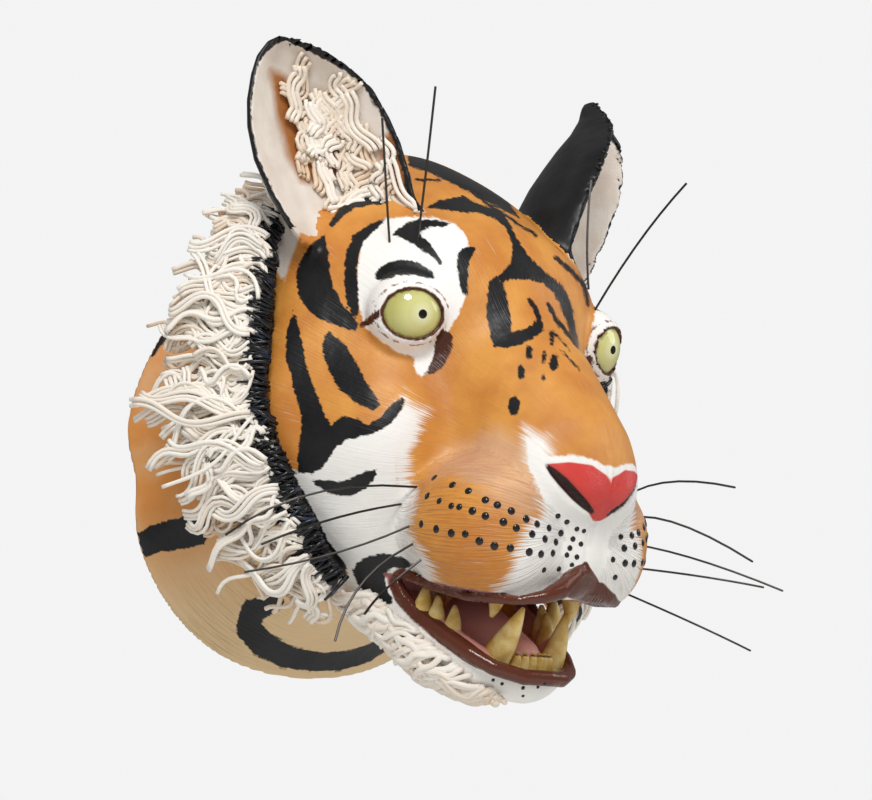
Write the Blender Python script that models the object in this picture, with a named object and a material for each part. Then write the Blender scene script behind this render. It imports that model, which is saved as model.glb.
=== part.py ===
"""Ceramic tiger head that hangs on a wall by its own hollow, flared neck.

The frame: the wall is the plane Y = 0, the head looks along -Y, and +Z is up. The origin is the
middle of the neck's rim. Lengths are in metres.

The head is hand built from slabs and lumps of clay and fired as one piece, so one field of smooth
lumps describes it: the field is negative inside the clay and positive outside it. Everything
freely modelled, such as the skull, the ears and the locks, is laid out in 325ths of the head's
length. The slab's thickness, the rim, the wires and their sockets have sizes of their own.
"""

import math

import bpy
import bmesh
import numpy as np
from mathutils import Matrix, Vector

# Driving sizes
HEAD_LENGTH = 0.325
RIM_RADIUS = 0.165
RIM_SAG = 0.0045
RIM_WAVE = 0.002
RIM_DENT = 0.008
SLAB = 0.009
WHISKER_DIAMETER = 0.0016
SOCKET_CLEARANCE = 0.0003
SOCKET_DEPTH = 0.006
LOCK_THICKNESS = 0.012

# How finely the clay is worked out, and how many triangles are kept
CLAY_GRID = 0.0050
HOLLOW_GRID = 0.013
CLAY_TRIANGLES = 7400
HOLLOW_TRIANGLES = 420
NEAR_NODES = 3.0

# One 325th of the head's length
U = HEAD_LENGTH / 325.0

# The space that the clay is worked out in; it runs past the wall plane, which trims the neck flat
PAST_WALL = 0.014
CLAY_SIDE = max(205.0 * U, RIM_RADIUS + 0.040)
CLAY_LOW = (-CLAY_SIDE, -335.0 * U, -max(215.0 * U, RIM_RADIUS + 0.050))
CLAY_HIGH = (CLAY_SIDE, PAST_WALL, 285.0 * U)


def unit(vector):
    return vector / np.linalg.norm(vector)


def smooth_union(a, b, blend):
    h = np.clip(0.5 + 0.5 * (b - a) / blend, 0.0, 1.0)
    return b + (a - b) * h - blend * h * (1.0 - h)


def smooth_cut(a, cutter, blend):
    return -smooth_union(-a, cutter, blend)


def turned(points, tilt):
    """Turns points about X by tilt degrees, so that an upright lump leans forward."""
    c = math.cos(math.radians(tilt))
    s = math.sin(math.radians(tilt))
    x, y, z = points.T
    return np.stack([x, c * y + s * z, c * z - s * y], axis=1)


def lump(points, centre, radii, tilt=0.0):
    """An ellipsoid of clay."""
    local = points - np.array(centre) * U
    if tilt:
        local = turned(local, tilt)
    radii = np.array(radii) * U
    near = np.linalg.norm(local / radii, axis=1)
    slope = np.linalg.norm(local / radii**2, axis=1)
    return near * (near - 1.0) / np.maximum(slope, 1e-9)


def roll(points, start, end, start_radius, end_radius):
    """A tapered roll of clay between two points."""
    a = np.array(start) * U
    b = np.array(end) * U
    along = np.clip((points - a) @ (b - a) / ((b - a) @ (b - a)), 0.0, 1.0)
    radius = (start_radius + (end_radius - start_radius) * along) * U
    return np.linalg.norm(points - a - along[:, None] * (b - a), axis=1) - radius


def rolls(points, path, radii):
    """One roll that bends through the points of a path, with a radius at each."""
    field = np.full(len(points), 1.0)
    for i in range(len(path) - 1):
        field = np.minimum(field, roll(points, path[i], path[i + 1], radii[i], radii[i + 1]))
    return field


# The skull and face. Each lump: middle, radii, lean, and how softly it joins. The right half is
# given, and the left half mirrors it.
SKULL_LUMPS = (
    ((0, -126, 68), (126, 98, 127), 0, 1),
    ((0, -182, 82), (92, 58, 64), 0, 22),
    ((72, -126, -2), (74, 56, 96), 0, 26),
    ((60, -172, -14), (56, 52, 66), 0, 26),
    ((0, -150, -70), (98, 84, 62), 0, 26),
)
BRIDGE = ((0, -196, 52), (0, -272, -34), 50, 38)
NOSE = ((0, -284, -44), (42, 32, 26), 20)
PAD = ((40, -244, -74), (46, 54, 46), 0)
UNDER_PAD = ((36, -262, -92), (34, 33, 30), 0)

# The neck: radius of its outer skin at distances from the wall
NECK_LENGTH = 128.0
NECK_WAIST = 120.0
FLARE_LENGTH = 62.0

# Where the rim sags outward, and where a thumb pressed it in, in degrees from +X towards +Z
SAG_AT = 240.0
DENT_AT = 194.0
DENT_HALF_WIDTH = 9.0
RIM_WAVES = 5

# The mouth: a wedge that opens forward from the corners of the lips
MOUTH_CORNER = (62, -174, -102)
UPPER_JAW_ANGLE = 9.0
LOWER_JAW_ANGLE = 37.0
MOUTH_POCKET = ((0, -206, -124), (44, 56, 24), 20)

# The jaw's horseshoe and the brown roll of the lower lip on it
JAW_PATH = ((58, -164, -116), (50, -204, -144), (35, -234, -161), (0, -243, -166))
JAW_RADII = (15, 13, 12, 13)
JAW_FLOOR = ((0, -196, -152), (52, 56, 15), 24)
LOWER_LIP_PATH = (
    (62, -174, -103),
    (61, -180, -114),
    (58, -188, -126),
    (53, -206, -139),
    (47, -224, -150),
    (38, -242, -160),
    (24, -256, -166),
    (0, -260, -168),
)
LIP_RADIUS = 5.5
UPPER_LIP_PATH = (
    (62, -174, -102),
    (64, -196, -103),
    (62, -218, -110),
    (58, -256, -119),
    (46, -288, -121),
    (32, -296, -118),
    (20, -297, -113),
    (0, -296, -98),
)
TONGUE = ((0, -186, -134), (0, -236, -156), 25, 17)

# Eye ball, ear and tooth places
EYE = (77, -206, 64)
EYE_BALL = 24.0

# A tooth: root, tip and radius at the root
TEETH = (
    ((24, -243, -158), (26, -262, -121), 8.5),
    ((33, -254, -108), (33, -248, -127), 8.5),
    ((46, -222, -146), (44, -223, -126), 7.5),
    ((51, -212, -139), (50, -214, -119), 7.5),
    ((55, -203, -130), (54, -206, -111), 7.0),
    ((39, -224, -112), (38, -220, -132), 8.0),
)
INCISOR_ROLL = ((18, -249, -157), (0, -252, -157), 6.0, 6.0)

# Each ear in level rows from its root to its tip: the middle of each and its half width. Then the
# level directions that the ears face, how deep they cup, and the clay's thickness.
RIGHT_EAR_ROWS = (
    ((90, -170, 108), 40),
    ((103, -168, 138), 50),
    ((111, -164, 162), 53),
    ((116, -160, 184), 52),
    ((120, -157, 202), 48),
    ((124, -154, 220), 41),
    ((130, -151, 233), 31),
    ((136, -148, 243), 18),
    ((140, -146, 249), 4),
)
LEFT_EAR_ROWS = (
    ((96, -165, 108), 44),
    ((107, -163, 138), 55),
    ((119, -162, 164), 61),
    ((131, -163, 190), 59),
    ((137, -162, 206), 53),
    ((142, -159, 222), 44),
    ((144, -156, 236), 32),
    ((142, -150, 248), 19),
    ((139, -144, 257), 10),
    ((139, -141, 264), 4),
)
RIGHT_EAR_FACING = (0.34, -0.94)
LEFT_EAR_FACING = (0.66, -0.75)
RIGHT_EAR_CUP = 38.0
LEFT_EAR_CUP = 54.0
EAR_SLAB = 11.0
EAR_ROOT = ((86, -106, 118), (44, 30, 46), 0)

# The ruff runs down the edge of the face, from under the ear to the throat
RUFF_LINE = (
    (112, -98, 132),
    (128, -108, 110),
    (139, -128, 72),
    (142, -138, 38),
    (142, -145, 5),
    (138, -152, -22),
    (129, -156, -47),
    (118, -158, -68),
    (106, -162, -90),
    (94, -166, -106),
)
RUFF_LOCKS = 25
RUFF_REACHES = (44.0, 52.0, 78.0, 74.0, 58.0)
RUFF_BED = 14.0
BEARD_LOCKS = 9


def skull(points):
    field = None
    for centre, radii, tilt, blend in SKULL_LUMPS:
        one = lump(points, centre, radii, tilt)
        field = one if field is None else smooth_union(field, one, blend * U)
    return field


def neck_radius(y):
    """Radius of the neck's outer skin at a distance in front of the wall."""
    share = np.clip(-y / (FLARE_LENGTH * U), -0.15, 1.0)
    flare = (1.0 - share) ** 2
    return NECK_WAIST * U + (RIM_RADIUS - NECK_WAIST * U) * flare


def neck_field(points, inset):
    x, y, z = points.T
    angle = np.arctan2(z, x)
    wave = RIM_SAG * np.cos(angle - math.radians(SAG_AT)) + RIM_WAVE * np.sin(RIM_WAVES * angle)
    from_dent = (angle - math.radians(DENT_AT) + math.pi) % (2.0 * math.pi) - math.pi
    wave = wave - RIM_DENT * np.exp(-(from_dent / math.radians(DENT_HALF_WIDTH)) ** 2)
    wave = wave * np.clip(1.0 + y / (FLARE_LENGTH * U), 0.0, 1.4)
    wall = np.hypot(x, z) - neck_radius(y) - wave + inset
    return np.maximum(0.8 * wall, -y - NECK_LENGTH * U)


def ear_field(points, rows, facing, cup):
    """A cupped slab with a rounded edge, that stands on the skull."""
    middles = np.array([row[0] for row in rows], float) * U
    halves = np.array([row[1] for row in rows], float) * U
    out = np.array([*facing, 0.0]) / math.hypot(*facing)
    across = np.array([-out[1], out[0], 0.0])
    z = points[:, 2]
    middle = np.stack([np.interp(z, middles[:, 2], middles[:, i]) for i in range(3)], axis=1)
    half = np.interp(z, middles[:, 2], halves)
    side = np.abs((points - middle) @ across)
    depth = (points - middle) @ out
    share = np.clip(side / half, 0.0, 1.2)
    deep = cup * U * half / halves.max()
    widening = np.interp(z, middles[:, 2], np.gradient(halves, middles[:, 2]))
    steep = np.sqrt(1.0 + (2.0 * deep * share / half) ** 2 * (1.0 + (share * widening) ** 2))
    away = np.abs(depth + deep * (1.0 - share**2)) / steep
    round_edge = 0.5 * EAR_SLAB * U
    past = (side - half) / np.sqrt(1.0 + widening**2)
    past = np.maximum(past, np.maximum(middles[0, 2] - z, z - middles[-1, 2]))
    return np.hypot(np.maximum(past + round_edge, 0.0), away) - round_edge


def mouth_field(points):
    """The gap between the jaws, open in front and at both sides."""
    x, y, z = points.T
    forward = -(y - MOUTH_CORNER[1] * U)
    down = -(z - MOUTH_CORNER[2] * U)
    upper = math.radians(UPPER_JAW_ANGLE)
    lower = math.radians(LOWER_JAW_ANGLE)
    below_upper = down * math.cos(upper) - forward * math.sin(upper)
    above_lower = forward * math.sin(lower) - down * math.cos(lower)
    return -np.minimum(below_upper, above_lower)


def ruff_locks():
    """Root, direction and reach of every lock along the right half's ruff, in 325ths."""
    line = np.array(RUFF_LINE, float)
    steps = np.linalg.norm(np.diff(line, axis=0), axis=1)
    along = np.concatenate([[0.0], np.cumsum(steps)])
    locks = []
    for k in range(RUFF_LOCKS):
        share = (k + 0.5) / RUFF_LOCKS
        root = np.array([np.interp(share * along[-1], along, line[:, i]) for i in range(3)])
        fall = np.interp(share, (0.0, 0.25, 0.6, 1.0), (0.62, 0.20, -0.12, -0.34))
        lift = 0.13 * (k % 2)
        out = 0.46 + lift - 0.7 * max(share - 0.6, 0.0)
        reach = np.interp(share, (0.0, 0.2, 0.4, 0.8, 1.0), RUFF_REACHES)
        direction = unit(np.array([out, 0.86 - lift, fall + 0.10 * math.sin(12.9 * k)]))
        locks.append((root, direction, reach * (1.0 + 0.10 * math.sin(7.7 * k))))
    return locks


def ruff_field(points):
    """Locks that spread from a solid bed along the edge of the face."""
    locks = ruff_locks()
    bed = [root + direction * RUFF_BED for root, direction, _ in locks]
    field = rolls(points, bed, [RUFF_BED] * len(bed))
    thick = 0.5 * LOCK_THICKNESS / U
    for root, direction, reach in locks:
        middle = root + direction * reach * 0.55 + np.array([3.0, 0.0, 2.0])
        tip = root + direction * reach
        path = (root, middle, tip)
        near = np.linalg.norm(points - middle * U, axis=1) < (0.6 * reach + 20.0) * U
        lock = rolls(points[near], path, (thick * 1.3, thick, thick * 0.72))
        field[near] = smooth_union(field[near], lock, 3 * U)
    return field


def beard_field(points):
    field = np.full(len(points), 1.0)
    for k in range(BEARD_LOCKS):
        share = k / (BEARD_LOCKS - 1.0)
        root = np.array([
            np.interp(share, (0.0, 0.5, 1.0), (66.0, 52.0, 5.0)),
            np.interp(share, (0.0, 0.5, 1.0), (-170.0, -212.0, -246.0)),
            np.interp(share, (0.0, 0.5, 1.0), (-120.0, -152.0, -170.0)),
        ])
        tip = root + np.array([5.0 - 4.0 * share, 24.0 - 8.0 * share, -17.0 + 3.0 * math.sin(9.0 * k)])
        field = np.minimum(field, roll(points, root, tip, 8.0, 4.0))
    return field


def clay_field(points):
    """The whole head without its hollow, for points on both halves."""
    folded = points.copy()
    folded[:, 0] = np.abs(folded[:, 0])
    field = skull(folded)
    field = smooth_union(field, roll(folded, *BRIDGE), 26 * U)
    field = smooth_union(field, lump(folded, *NOSE), 14 * U)
    jaw = rolls(folded, JAW_PATH, JAW_RADII)
    jaw = smooth_union(jaw, lump(folded, *JAW_FLOOR), 12 * U)
    field = smooth_union(field, jaw, 18 * U)
    pads = lump(folded, *PAD)
    pads = smooth_union(pads, lump(folded, *UNDER_PAD), 12 * U)
    field = smooth_union(field, pads, 12 * U)
    field = smooth_union(field, lump(folded, EYE, (EYE_BALL, EYE_BALL, EYE_BALL)), 3 * U)
    mouth = mouth_field(folded)
    pocket = lump(folded, *MOUTH_POCKET)
    field = smooth_cut(field, mouth, 4 * U)
    field = smooth_cut(field, pocket, 5 * U)
    field = smooth_union(field, roll(folded, *TONGUE), 5 * U)
    for lip in (LOWER_LIP_PATH, UPPER_LIP_PATH):
        field = smooth_union(field, rolls(folded, lip, [LIP_RADIUS] * len(lip)), 3 * U)
    for root, tip, radius in TEETH:
        field = smooth_union(field, roll(folded, root, tip, radius, 2.0), 2 * U)
    field = smooth_union(field, roll(folded, *INCISOR_ROLL), 2 * U)
    field = smooth_union(field, lump(folded, *EAR_ROOT), 16 * U)
    ears = np.where(
        points[:, 0] < 0.0,
        ear_field(folded, RIGHT_EAR_ROWS, RIGHT_EAR_FACING, RIGHT_EAR_CUP),
        ear_field(folded, LEFT_EAR_ROWS, LEFT_EAR_FACING, LEFT_EAR_CUP),
    )
    field = smooth_union(field, ears, 8 * U)
    field = smooth_union(field, neck_field(points, 0.0), 14 * U)
    field = smooth_union(field, ruff_field(folded), 3 * U)
    field = smooth_union(field, beard_field(folded), 3 * U)
    return field


def hollow_field(points):
    """The hollow that opens at the back: skull and neck a slab's thickness further in, and a slab
    left round the mouth."""
    folded = points.copy()
    folded[:, 0] = np.abs(folded[:, 0])
    head = smooth_union(skull(folded), roll(folded, *BRIDGE), 26 * U)
    field = smooth_union(head + SLAB, neck_field(points, SLAB), 14 * U)
    mouth = np.minimum(mouth_field(folded), lump(folded, *MOUTH_POCKET))
    return np.maximum(field, SLAB - mouth)


# The six tetrahedra of a cube, by the numbers of its corners (bit 0 is X, bit 1 Y, bit 2 Z)
CUBE_TETRAHEDRA = ((0, 1, 3, 7), (0, 3, 2, 7), (0, 2, 6, 7), (0, 6, 4, 7), (0, 4, 5, 7), (0, 5, 1, 7))


def field_on_grid(field, nodes, grid):
    """The field at the grid's nodes: at every second one first, and then at the others only where
    the surface is near."""
    counts = nodes.shape[:3]
    coarse = nodes[::2, ::2, ::2]
    values = field(coarse.reshape(-1, 3)).reshape(coarse.shape[:3])
    for axis in range(3):
        values = np.repeat(values, 2, axis=axis)
    values = values[:counts[0], :counts[1], :counts[2]].copy()
    near = np.abs(values) < NEAR_NODES * grid
    values[near] = field(nodes[near])
    return values


def surface_of(field, low, high, grid):
    """Vertices and triangles of the surface where the field is zero: a cube is cut into six
    tetrahedra, and each of those that the surface crosses gives one or two triangles."""
    counts = [int(math.ceil((high[i] - low[i]) / grid)) + 1 for i in range(3)]
    axes = [low[i] + grid * np.arange(counts[i]) for i in range(3)]
    nodes = np.stack(np.meshgrid(*axes, indexing="ij"), axis=-1).reshape(-1, 3)
    values = field_on_grid(field, nodes.reshape(*counts, 3), grid)
    values = np.where(np.abs(values) < 1e-7, 1e-7, values)
    for side in (0, -1):
        values[side] = np.abs(values[side])
        values[:, side] = np.abs(values[:, side])
        values[:, :, side] = np.abs(values[:, :, side])
    values = values.reshape(-1)
    index = np.arange(len(nodes)).reshape(counts)
    cells = []
    for corner in range(8):
        dx, dy, dz = corner & 1, (corner >> 1) & 1, corner >> 2
        cells.append(index[
            dx:counts[0] - 1 + dx, dy:counts[1] - 1 + dy, dz:counts[2] - 1 + dz
        ].reshape(-1))
    cells = np.stack(cells, axis=1)
    inside = values[cells] < 0.0
    cells = cells[inside.any(axis=1) & ~inside.all(axis=1)]
    tets = np.concatenate([cells[:, list(four)] for four in CUBE_TETRAHEDRA])
    inside = values[tets] < 0.0
    count = inside.sum(axis=1)
    triangles = []
    for alone in range(4):
        others = [k for k in range(4) if k != alone]
        for wanted, flag in ((1, True), (3, False)):
            pick = (count == wanted) & (inside[:, alone] == flag)
            four = tets[pick]
            ends = [np.stack([four[:, alone], four[:, k]], axis=1) for k in others]
            triangles.append((ends, four[:, alone], flag))
    for first, second in ((0, 1), (0, 2), (0, 3)):
        rest = [k for k in range(4) if k not in (first, second)]
        for flag in (True, False):
            pick = (count == 2) & (inside[:, first] == flag) & (inside[:, second] == flag)
            four = tets[pick]
            a = np.stack([four[:, first], four[:, rest[0]]], axis=1)
            b = np.stack([four[:, first], four[:, rest[1]]], axis=1)
            c = np.stack([four[:, second], four[:, rest[1]]], axis=1)
            d = np.stack([four[:, second], four[:, rest[0]]], axis=1)
            triangles.append(([a, b, c], four[:, first], flag))
            triangles.append(([a, c, d], four[:, first], flag))
    corners = []
    for ends, side, flag in triangles:
        if len(side) == 0:
            continue
        places = []
        for pair in ends:
            va = values[pair[:, 0]]
            vb = values[pair[:, 1]]
            share = (va / (va - vb))[:, None]
            places.append(nodes[pair[:, 0]] * (1.0 - share) + nodes[pair[:, 1]] * share)
        normal = np.cross(places[1] - places[0], places[2] - places[0])
        away = places[0] - nodes[side]
        wrong = (np.einsum("ij,ij->i", normal, away) > 0.0) != flag
        three = np.stack(ends, axis=1)
        three[wrong] = three[wrong][:, ::-1]
        corners.append(three)
    corners = np.concatenate(corners)
    edges = np.sort(corners.reshape(-1, 2), axis=1)
    keys = edges[:, 0].astype(np.int64) * len(nodes) + edges[:, 1]
    _, first, faces = np.unique(keys, return_index=True, return_inverse=True)
    pairs = edges[first]
    share = (values[pairs[:, 0]] / (values[pairs[:, 0]] - values[pairs[:, 1]]))[:, None]
    share = np.clip(share, 0.02, 0.98)
    vertices = nodes[pairs[:, 0]] * (1.0 - share) + nodes[pairs[:, 1]] * share
    return largest_surface(vertices, faces.reshape(-1, 3))


def largest_surface(vertices, faces):
    """The largest connected surface, without any crumb or bubble beside it."""
    label = np.arange(len(vertices))
    while True:
        least = label[faces].min(axis=1)
        before = label.copy()
        for corner in range(3):
            np.minimum.at(label, faces[:, corner], least)
        label = label[label]
        if (label == before).all():
            break
    main = np.bincount(label).argmax()
    kept = label == main
    number = np.cumsum(kept) - 1
    return vertices[kept], number[faces[kept[faces[:, 0]]]]


def mesh_object(name, vertices, faces, material):
    mesh = bpy.data.meshes.new(name)
    mesh.from_pydata(vertices.tolist(), [], faces.tolist())
    mesh.update()
    obj = bpy.data.objects.new(name, mesh)
    bpy.context.scene.collection.objects.link(obj)
    if material is not None:
        mesh.materials.append(material)
    return obj


def glaze(name, colour, roughness, metallic=0.0):
    material = bpy.data.materials.new(name)
    material.use_nodes = True
    shader = material.node_tree.nodes["Principled BSDF"]
    shader.inputs["Base Color"].default_value = (*colour, 1.0)
    shader.inputs["Roughness"].default_value = roughness
    shader.inputs["Metallic"].default_value = metallic
    material.diffuse_color = (*colour, 1.0)
    return material


def hidden(obj):
    obj.hide_render = True
    obj.display_type = "WIRE"
    return obj


def cut(obj, cutter, name):
    boolean = obj.modifiers.new(name, "BOOLEAN")
    boolean.operation = "DIFFERENCE"
    boolean.object = cutter
    boolean.solver = "MANIFOLD"


def make_head():
    vertices, faces = surface_of(clay_field, CLAY_LOW, CLAY_HIGH, CLAY_GRID)
    head = mesh_object("tiger_head", vertices, faces, glaze("fired clay", (0.75, 0.42, 0.13), 0.4))
    fewer = head.modifiers.new("fewer faces", "DECIMATE")
    fewer.ratio = CLAY_TRIANGLES / len(faces)
    return head


def make_hollow():
    vertices, faces = surface_of(hollow_field, CLAY_LOW, CLAY_HIGH, HOLLOW_GRID)
    hollow = mesh_object("hollow", vertices, faces, None)
    fewer = hollow.modifiers.new("fewer faces", "DECIMATE")
    fewer.ratio = HOLLOW_TRIANGLES / len(faces)
    return hidden(hollow)


def make_wall_block():
    """What the wall plane trims off the back of the neck."""
    bm = bmesh.new()
    bmesh.ops.create_cube(bm, size=1.0)
    mesh = bpy.data.meshes.new("wall_block")
    bm.to_mesh(mesh)
    bm.free()
    block = bpy.data.objects.new("wall_block", mesh)
    bpy.context.scene.collection.objects.link(block)
    mesh.transform(Matrix.Translation((0.0, 0.5, 0.0)))
    return hidden(block)


# The whiskers: where each leaves the skin, a point half way along it, and its tip
WHISKERS = {
    "right_cheek": (
        ((-88, -220, -50), (-146, -206, -60), (-190, -180, -88)),
        ((-88, -212, -62), (-134, -211, -75), (-180, -205, -94)),
        ((-88, -222, -78), (-130, -207, -96), (-180, -188, -110)),
        ((-88, -226, -90), (-118, -223, -115), (-138, -227, -150)),
        ((-84, -230, -101), (-103, -228, -117), (-124, -237, -133)),
    ),
    "left_cheek": (
        ((84, -250, -38), (115, -253, -29), (180, -250, -26)),
        ((84, -245, -56), (118, -260, -58), (190, -258, -77)),
        ((84, -240, -72), (125, -272, -82), (200, -277, -97)),
        ((84, -240, -88), (130, -267, -92), (200, -259, -94)),
        ((80, -235, -102), (125, -262, -122), (190, -257, -138)),
    ),
    "right_brow": (
        ((-80, -189, 105), (-95, -202, 143), (-108, -212, 186)),
        ((-70, -204, 109), (-80, -224, 155), (-92, -246, 203)),
    ),
    "left_brow": (
        ((72, -213, 107), (71, -212, 143), (74, -211, 180)),
        ((75, -224, 95), (90, -245, 135), (112, -266, 175)),
    ),
}
WHISKER_STEPS = 7
DRILL_SIDES = 8


def skin_along(root, direction):
    """The place nearest the root where a line outward leaves the clay."""
    reach = np.linspace(-0.040, 0.040, 161)
    inside = clay_field(root + reach[:, None] * direction) < 0.0
    leaves = np.nonzero(inside[:-1] & ~inside[1:])[0]
    first = leaves[np.argmin(np.abs(reach[leaves]))]
    low = reach[first]
    high = reach[first + 1]
    for _ in range(16):
        half = 0.5 * (low + high)
        if clay_field((root + half * direction)[None])[0] < 0.0:
            low = half
        else:
            high = half
    return root + low * direction


def make_whisker(name, root, middle, tip, material):
    """A bent steel wire in its drilled socket. Returns the drill's place and direction."""
    root, middle, tip = (np.array(p, float) * U for p in (root, middle, tip))
    skin = skin_along(root, unit(2.0 * middle - 0.5 * (root + tip) - root))
    direction = unit(2.0 * middle - 0.5 * (skin + tip) - skin)
    start = skin + direction * 0.5 * SOCKET_DEPTH
    control = start + direction * ((2.0 * middle - 0.5 * (start + tip) - start) @ direction)
    places = [skin - direction * (SOCKET_DEPTH - SOCKET_CLEARANCE), start]
    for k in range(1, WHISKER_STEPS + 1):
        t = k / WHISKER_STEPS
        places.append((1 - t) ** 2 * start + 2 * t * (1 - t) * control + t**2 * tip)
    curve = bpy.data.curves.new(name, "CURVE")
    curve.dimensions = "3D"
    curve.bevel_depth = 0.5 * WHISKER_DIAMETER
    curve.bevel_resolution = 1
    curve.use_fill_caps = True
    spline = curve.splines.new("POLY")
    spline.points.add(len(places) - 1)
    for point, place in zip(spline.points, places):
        point.co = (*place, 1.0)
    curve.materials.append(material)
    wire = bpy.data.objects.new(name, curve)
    bpy.context.scene.collection.objects.link(wire)
    return skin, direction


def make_drills(seats):
    """One cutter for all the sockets."""
    bm = bmesh.new()
    radius = (0.5 * WHISKER_DIAMETER + SOCKET_CLEARANCE) / math.cos(math.pi / DRILL_SIDES)
    for skin, direction in seats:
        length = 2.0 * SOCKET_DEPTH
        turn = Vector(direction).to_track_quat("Z", "Y").to_matrix().to_4x4()
        place = Matrix.Translation(Vector(skin + direction * (0.5 * length - SOCKET_DEPTH)))
        bmesh.ops.create_cone(
            bm, cap_ends=True, segments=DRILL_SIDES, radius1=radius, radius2=radius,
            depth=length, matrix=place @ turn,
        )
    mesh = bpy.data.meshes.new("socket_drills")
    bm.to_mesh(mesh)
    bm.free()
    drills = bpy.data.objects.new("socket_drills", mesh)
    bpy.context.scene.collection.objects.link(drills)
    return hidden(drills)


def build():
    for old in list(bpy.data.objects):
        bpy.data.objects.remove(old)
    steel = glaze("dark steel wire", (0.09, 0.09, 0.09), 0.4, 1.0)
    head = make_head()
    cut(head, make_hollow(), "hollow")
    cut(head, make_wall_block(), "flat against the wall")
    seats = []
    for place, whiskers in WHISKERS.items():
        for number, whisker in enumerate(whiskers, 1):
            seats.append(make_whisker(f"{place}_whisker_{number}", *whisker, steel))
    cut(head, make_drills(seats), "whisker sockets")


build()
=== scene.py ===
"""The looks of a ceramic tiger head that hangs on a wall by its hollow neck.

The lengths in the sections are in millimetres, and MM turns them into Blender's metres. X points to
the tiger's left, Y into the wall, and Z up. Places are given for one half, with X above zero, and are
mirrored for the other. What differs between the halves says left or right in its name.
"""

import math

import bpy
import numpy as np
from mathutils import Matrix


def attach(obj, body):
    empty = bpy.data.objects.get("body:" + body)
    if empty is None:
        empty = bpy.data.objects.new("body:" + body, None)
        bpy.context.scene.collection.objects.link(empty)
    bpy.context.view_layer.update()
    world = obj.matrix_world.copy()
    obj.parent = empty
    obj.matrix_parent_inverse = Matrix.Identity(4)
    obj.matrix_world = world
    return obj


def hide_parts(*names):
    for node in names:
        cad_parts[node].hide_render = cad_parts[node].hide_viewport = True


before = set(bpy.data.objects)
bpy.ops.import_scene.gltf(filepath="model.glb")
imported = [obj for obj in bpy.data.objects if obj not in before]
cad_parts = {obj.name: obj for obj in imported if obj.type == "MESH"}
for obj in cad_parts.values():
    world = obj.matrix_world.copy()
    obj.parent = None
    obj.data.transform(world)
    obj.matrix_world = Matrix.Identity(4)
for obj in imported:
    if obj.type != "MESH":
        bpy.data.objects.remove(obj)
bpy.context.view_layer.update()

# Camera
# It stands to the tiger's right and a little below, and looks up at the head. A pixel of its
# 872 x 800 picture is also how the painter's marks below are laid out.
MM = 0.001
SCENE = bpy.context.scene
PICTURE_WIDTH = 872
PICTURE_HEIGHT = 800
FOCAL_PIXELS = 2188.0
SENSOR_WIDTH = 36.0
CAMERA_PLACE = np.array((-911.6, -1307.4, -210.8))
CAMERA_TURN = math.radians(-38.0)
CAMERA_TILT = math.radians(-9.0)
CAMERA_ROLL = math.radians(2.1)


def face(thing, right, up, back, place):
    """Sets an object at a place in millimetres, with its three axes along these directions."""
    axes = np.eye(4)
    axes[:3, :3] = np.stack([right, up, back], axis=1)
    axes[:3, 3] = np.array(place) * MM
    thing.matrix_world = Matrix(axes.tolist())


level = np.array((math.cos(CAMERA_TURN), math.sin(CAMERA_TURN), 0.0))
CAMERA_BACK = np.array((
    math.sin(CAMERA_TURN) * math.cos(CAMERA_TILT),
    -math.cos(CAMERA_TURN) * math.cos(CAMERA_TILT),
    math.sin(CAMERA_TILT),
))
upright = np.cross(CAMERA_BACK, level)
CAMERA_RIGHT = math.cos(CAMERA_ROLL) * level + math.sin(CAMERA_ROLL) * upright
CAMERA_UP = math.cos(CAMERA_ROLL) * upright - math.sin(CAMERA_ROLL) * level

camera_data = bpy.data.cameras.new("camera")
camera_data.lens = FOCAL_PIXELS * SENSOR_WIDTH / PICTURE_WIDTH
camera_data.sensor_width = SENSOR_WIDTH
camera = bpy.data.objects.new("camera", camera_data)
SCENE.collection.objects.link(camera)
face(camera, CAMERA_RIGHT, CAMERA_UP, CAMERA_BACK, CAMERA_PLACE)
SCENE.camera = camera


def pixels_of(points):
    """Where points show in the camera's picture."""
    from_camera = points - CAMERA_PLACE
    depth = -(from_camera @ CAMERA_BACK)
    across = PICTURE_WIDTH / 2 + FOCAL_PIXELS * (from_camera @ CAMERA_RIGHT) / depth
    down = PICTURE_HEIGHT / 2 - FOCAL_PIXELS * (from_camera @ CAMERA_UP) / depth
    return np.stack([across, down], axis=1)


def rays_of(pixels):
    """The direction from the camera through each pixel."""
    pixels = np.atleast_2d(np.array(pixels, float))
    right = (pixels[:, :1] - PICTURE_WIDTH / 2) / FOCAL_PIXELS
    up = (PICTURE_HEIGHT / 2 - pixels[:, 1:2]) / FOCAL_PIXELS
    rays = right * CAMERA_RIGHT + up * CAMERA_UP - CAMERA_BACK
    return rays / np.linalg.norm(rays, axis=1, keepdims=True)


# Studio
# Plain soft light: a large key light high on the left, a weaker one on the right, and a pale floor
# well below, because the head hangs.
PALE = 0.90
ROOM_LIGHT = 0.66
ROOM_SHINE = 0.22
FLOOR_SIZE = 6000.0
FLOOR_DROP = 620.0
LIT_MIDDLE = np.array((0.0, -150.0, 30.0))


def linear(hex_colour):
    """A colour written as sRGB hex, as the linear values that shaders take."""
    parts = [int(hex_colour[i:i + 2], 16) / 255 for i in (1, 3, 5)]
    parts = [p / 12.92 if p <= 0.04045 else ((p + 0.055) / 1.055) ** 2.4 for p in parts]
    return (*parts, 1.0)


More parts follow.
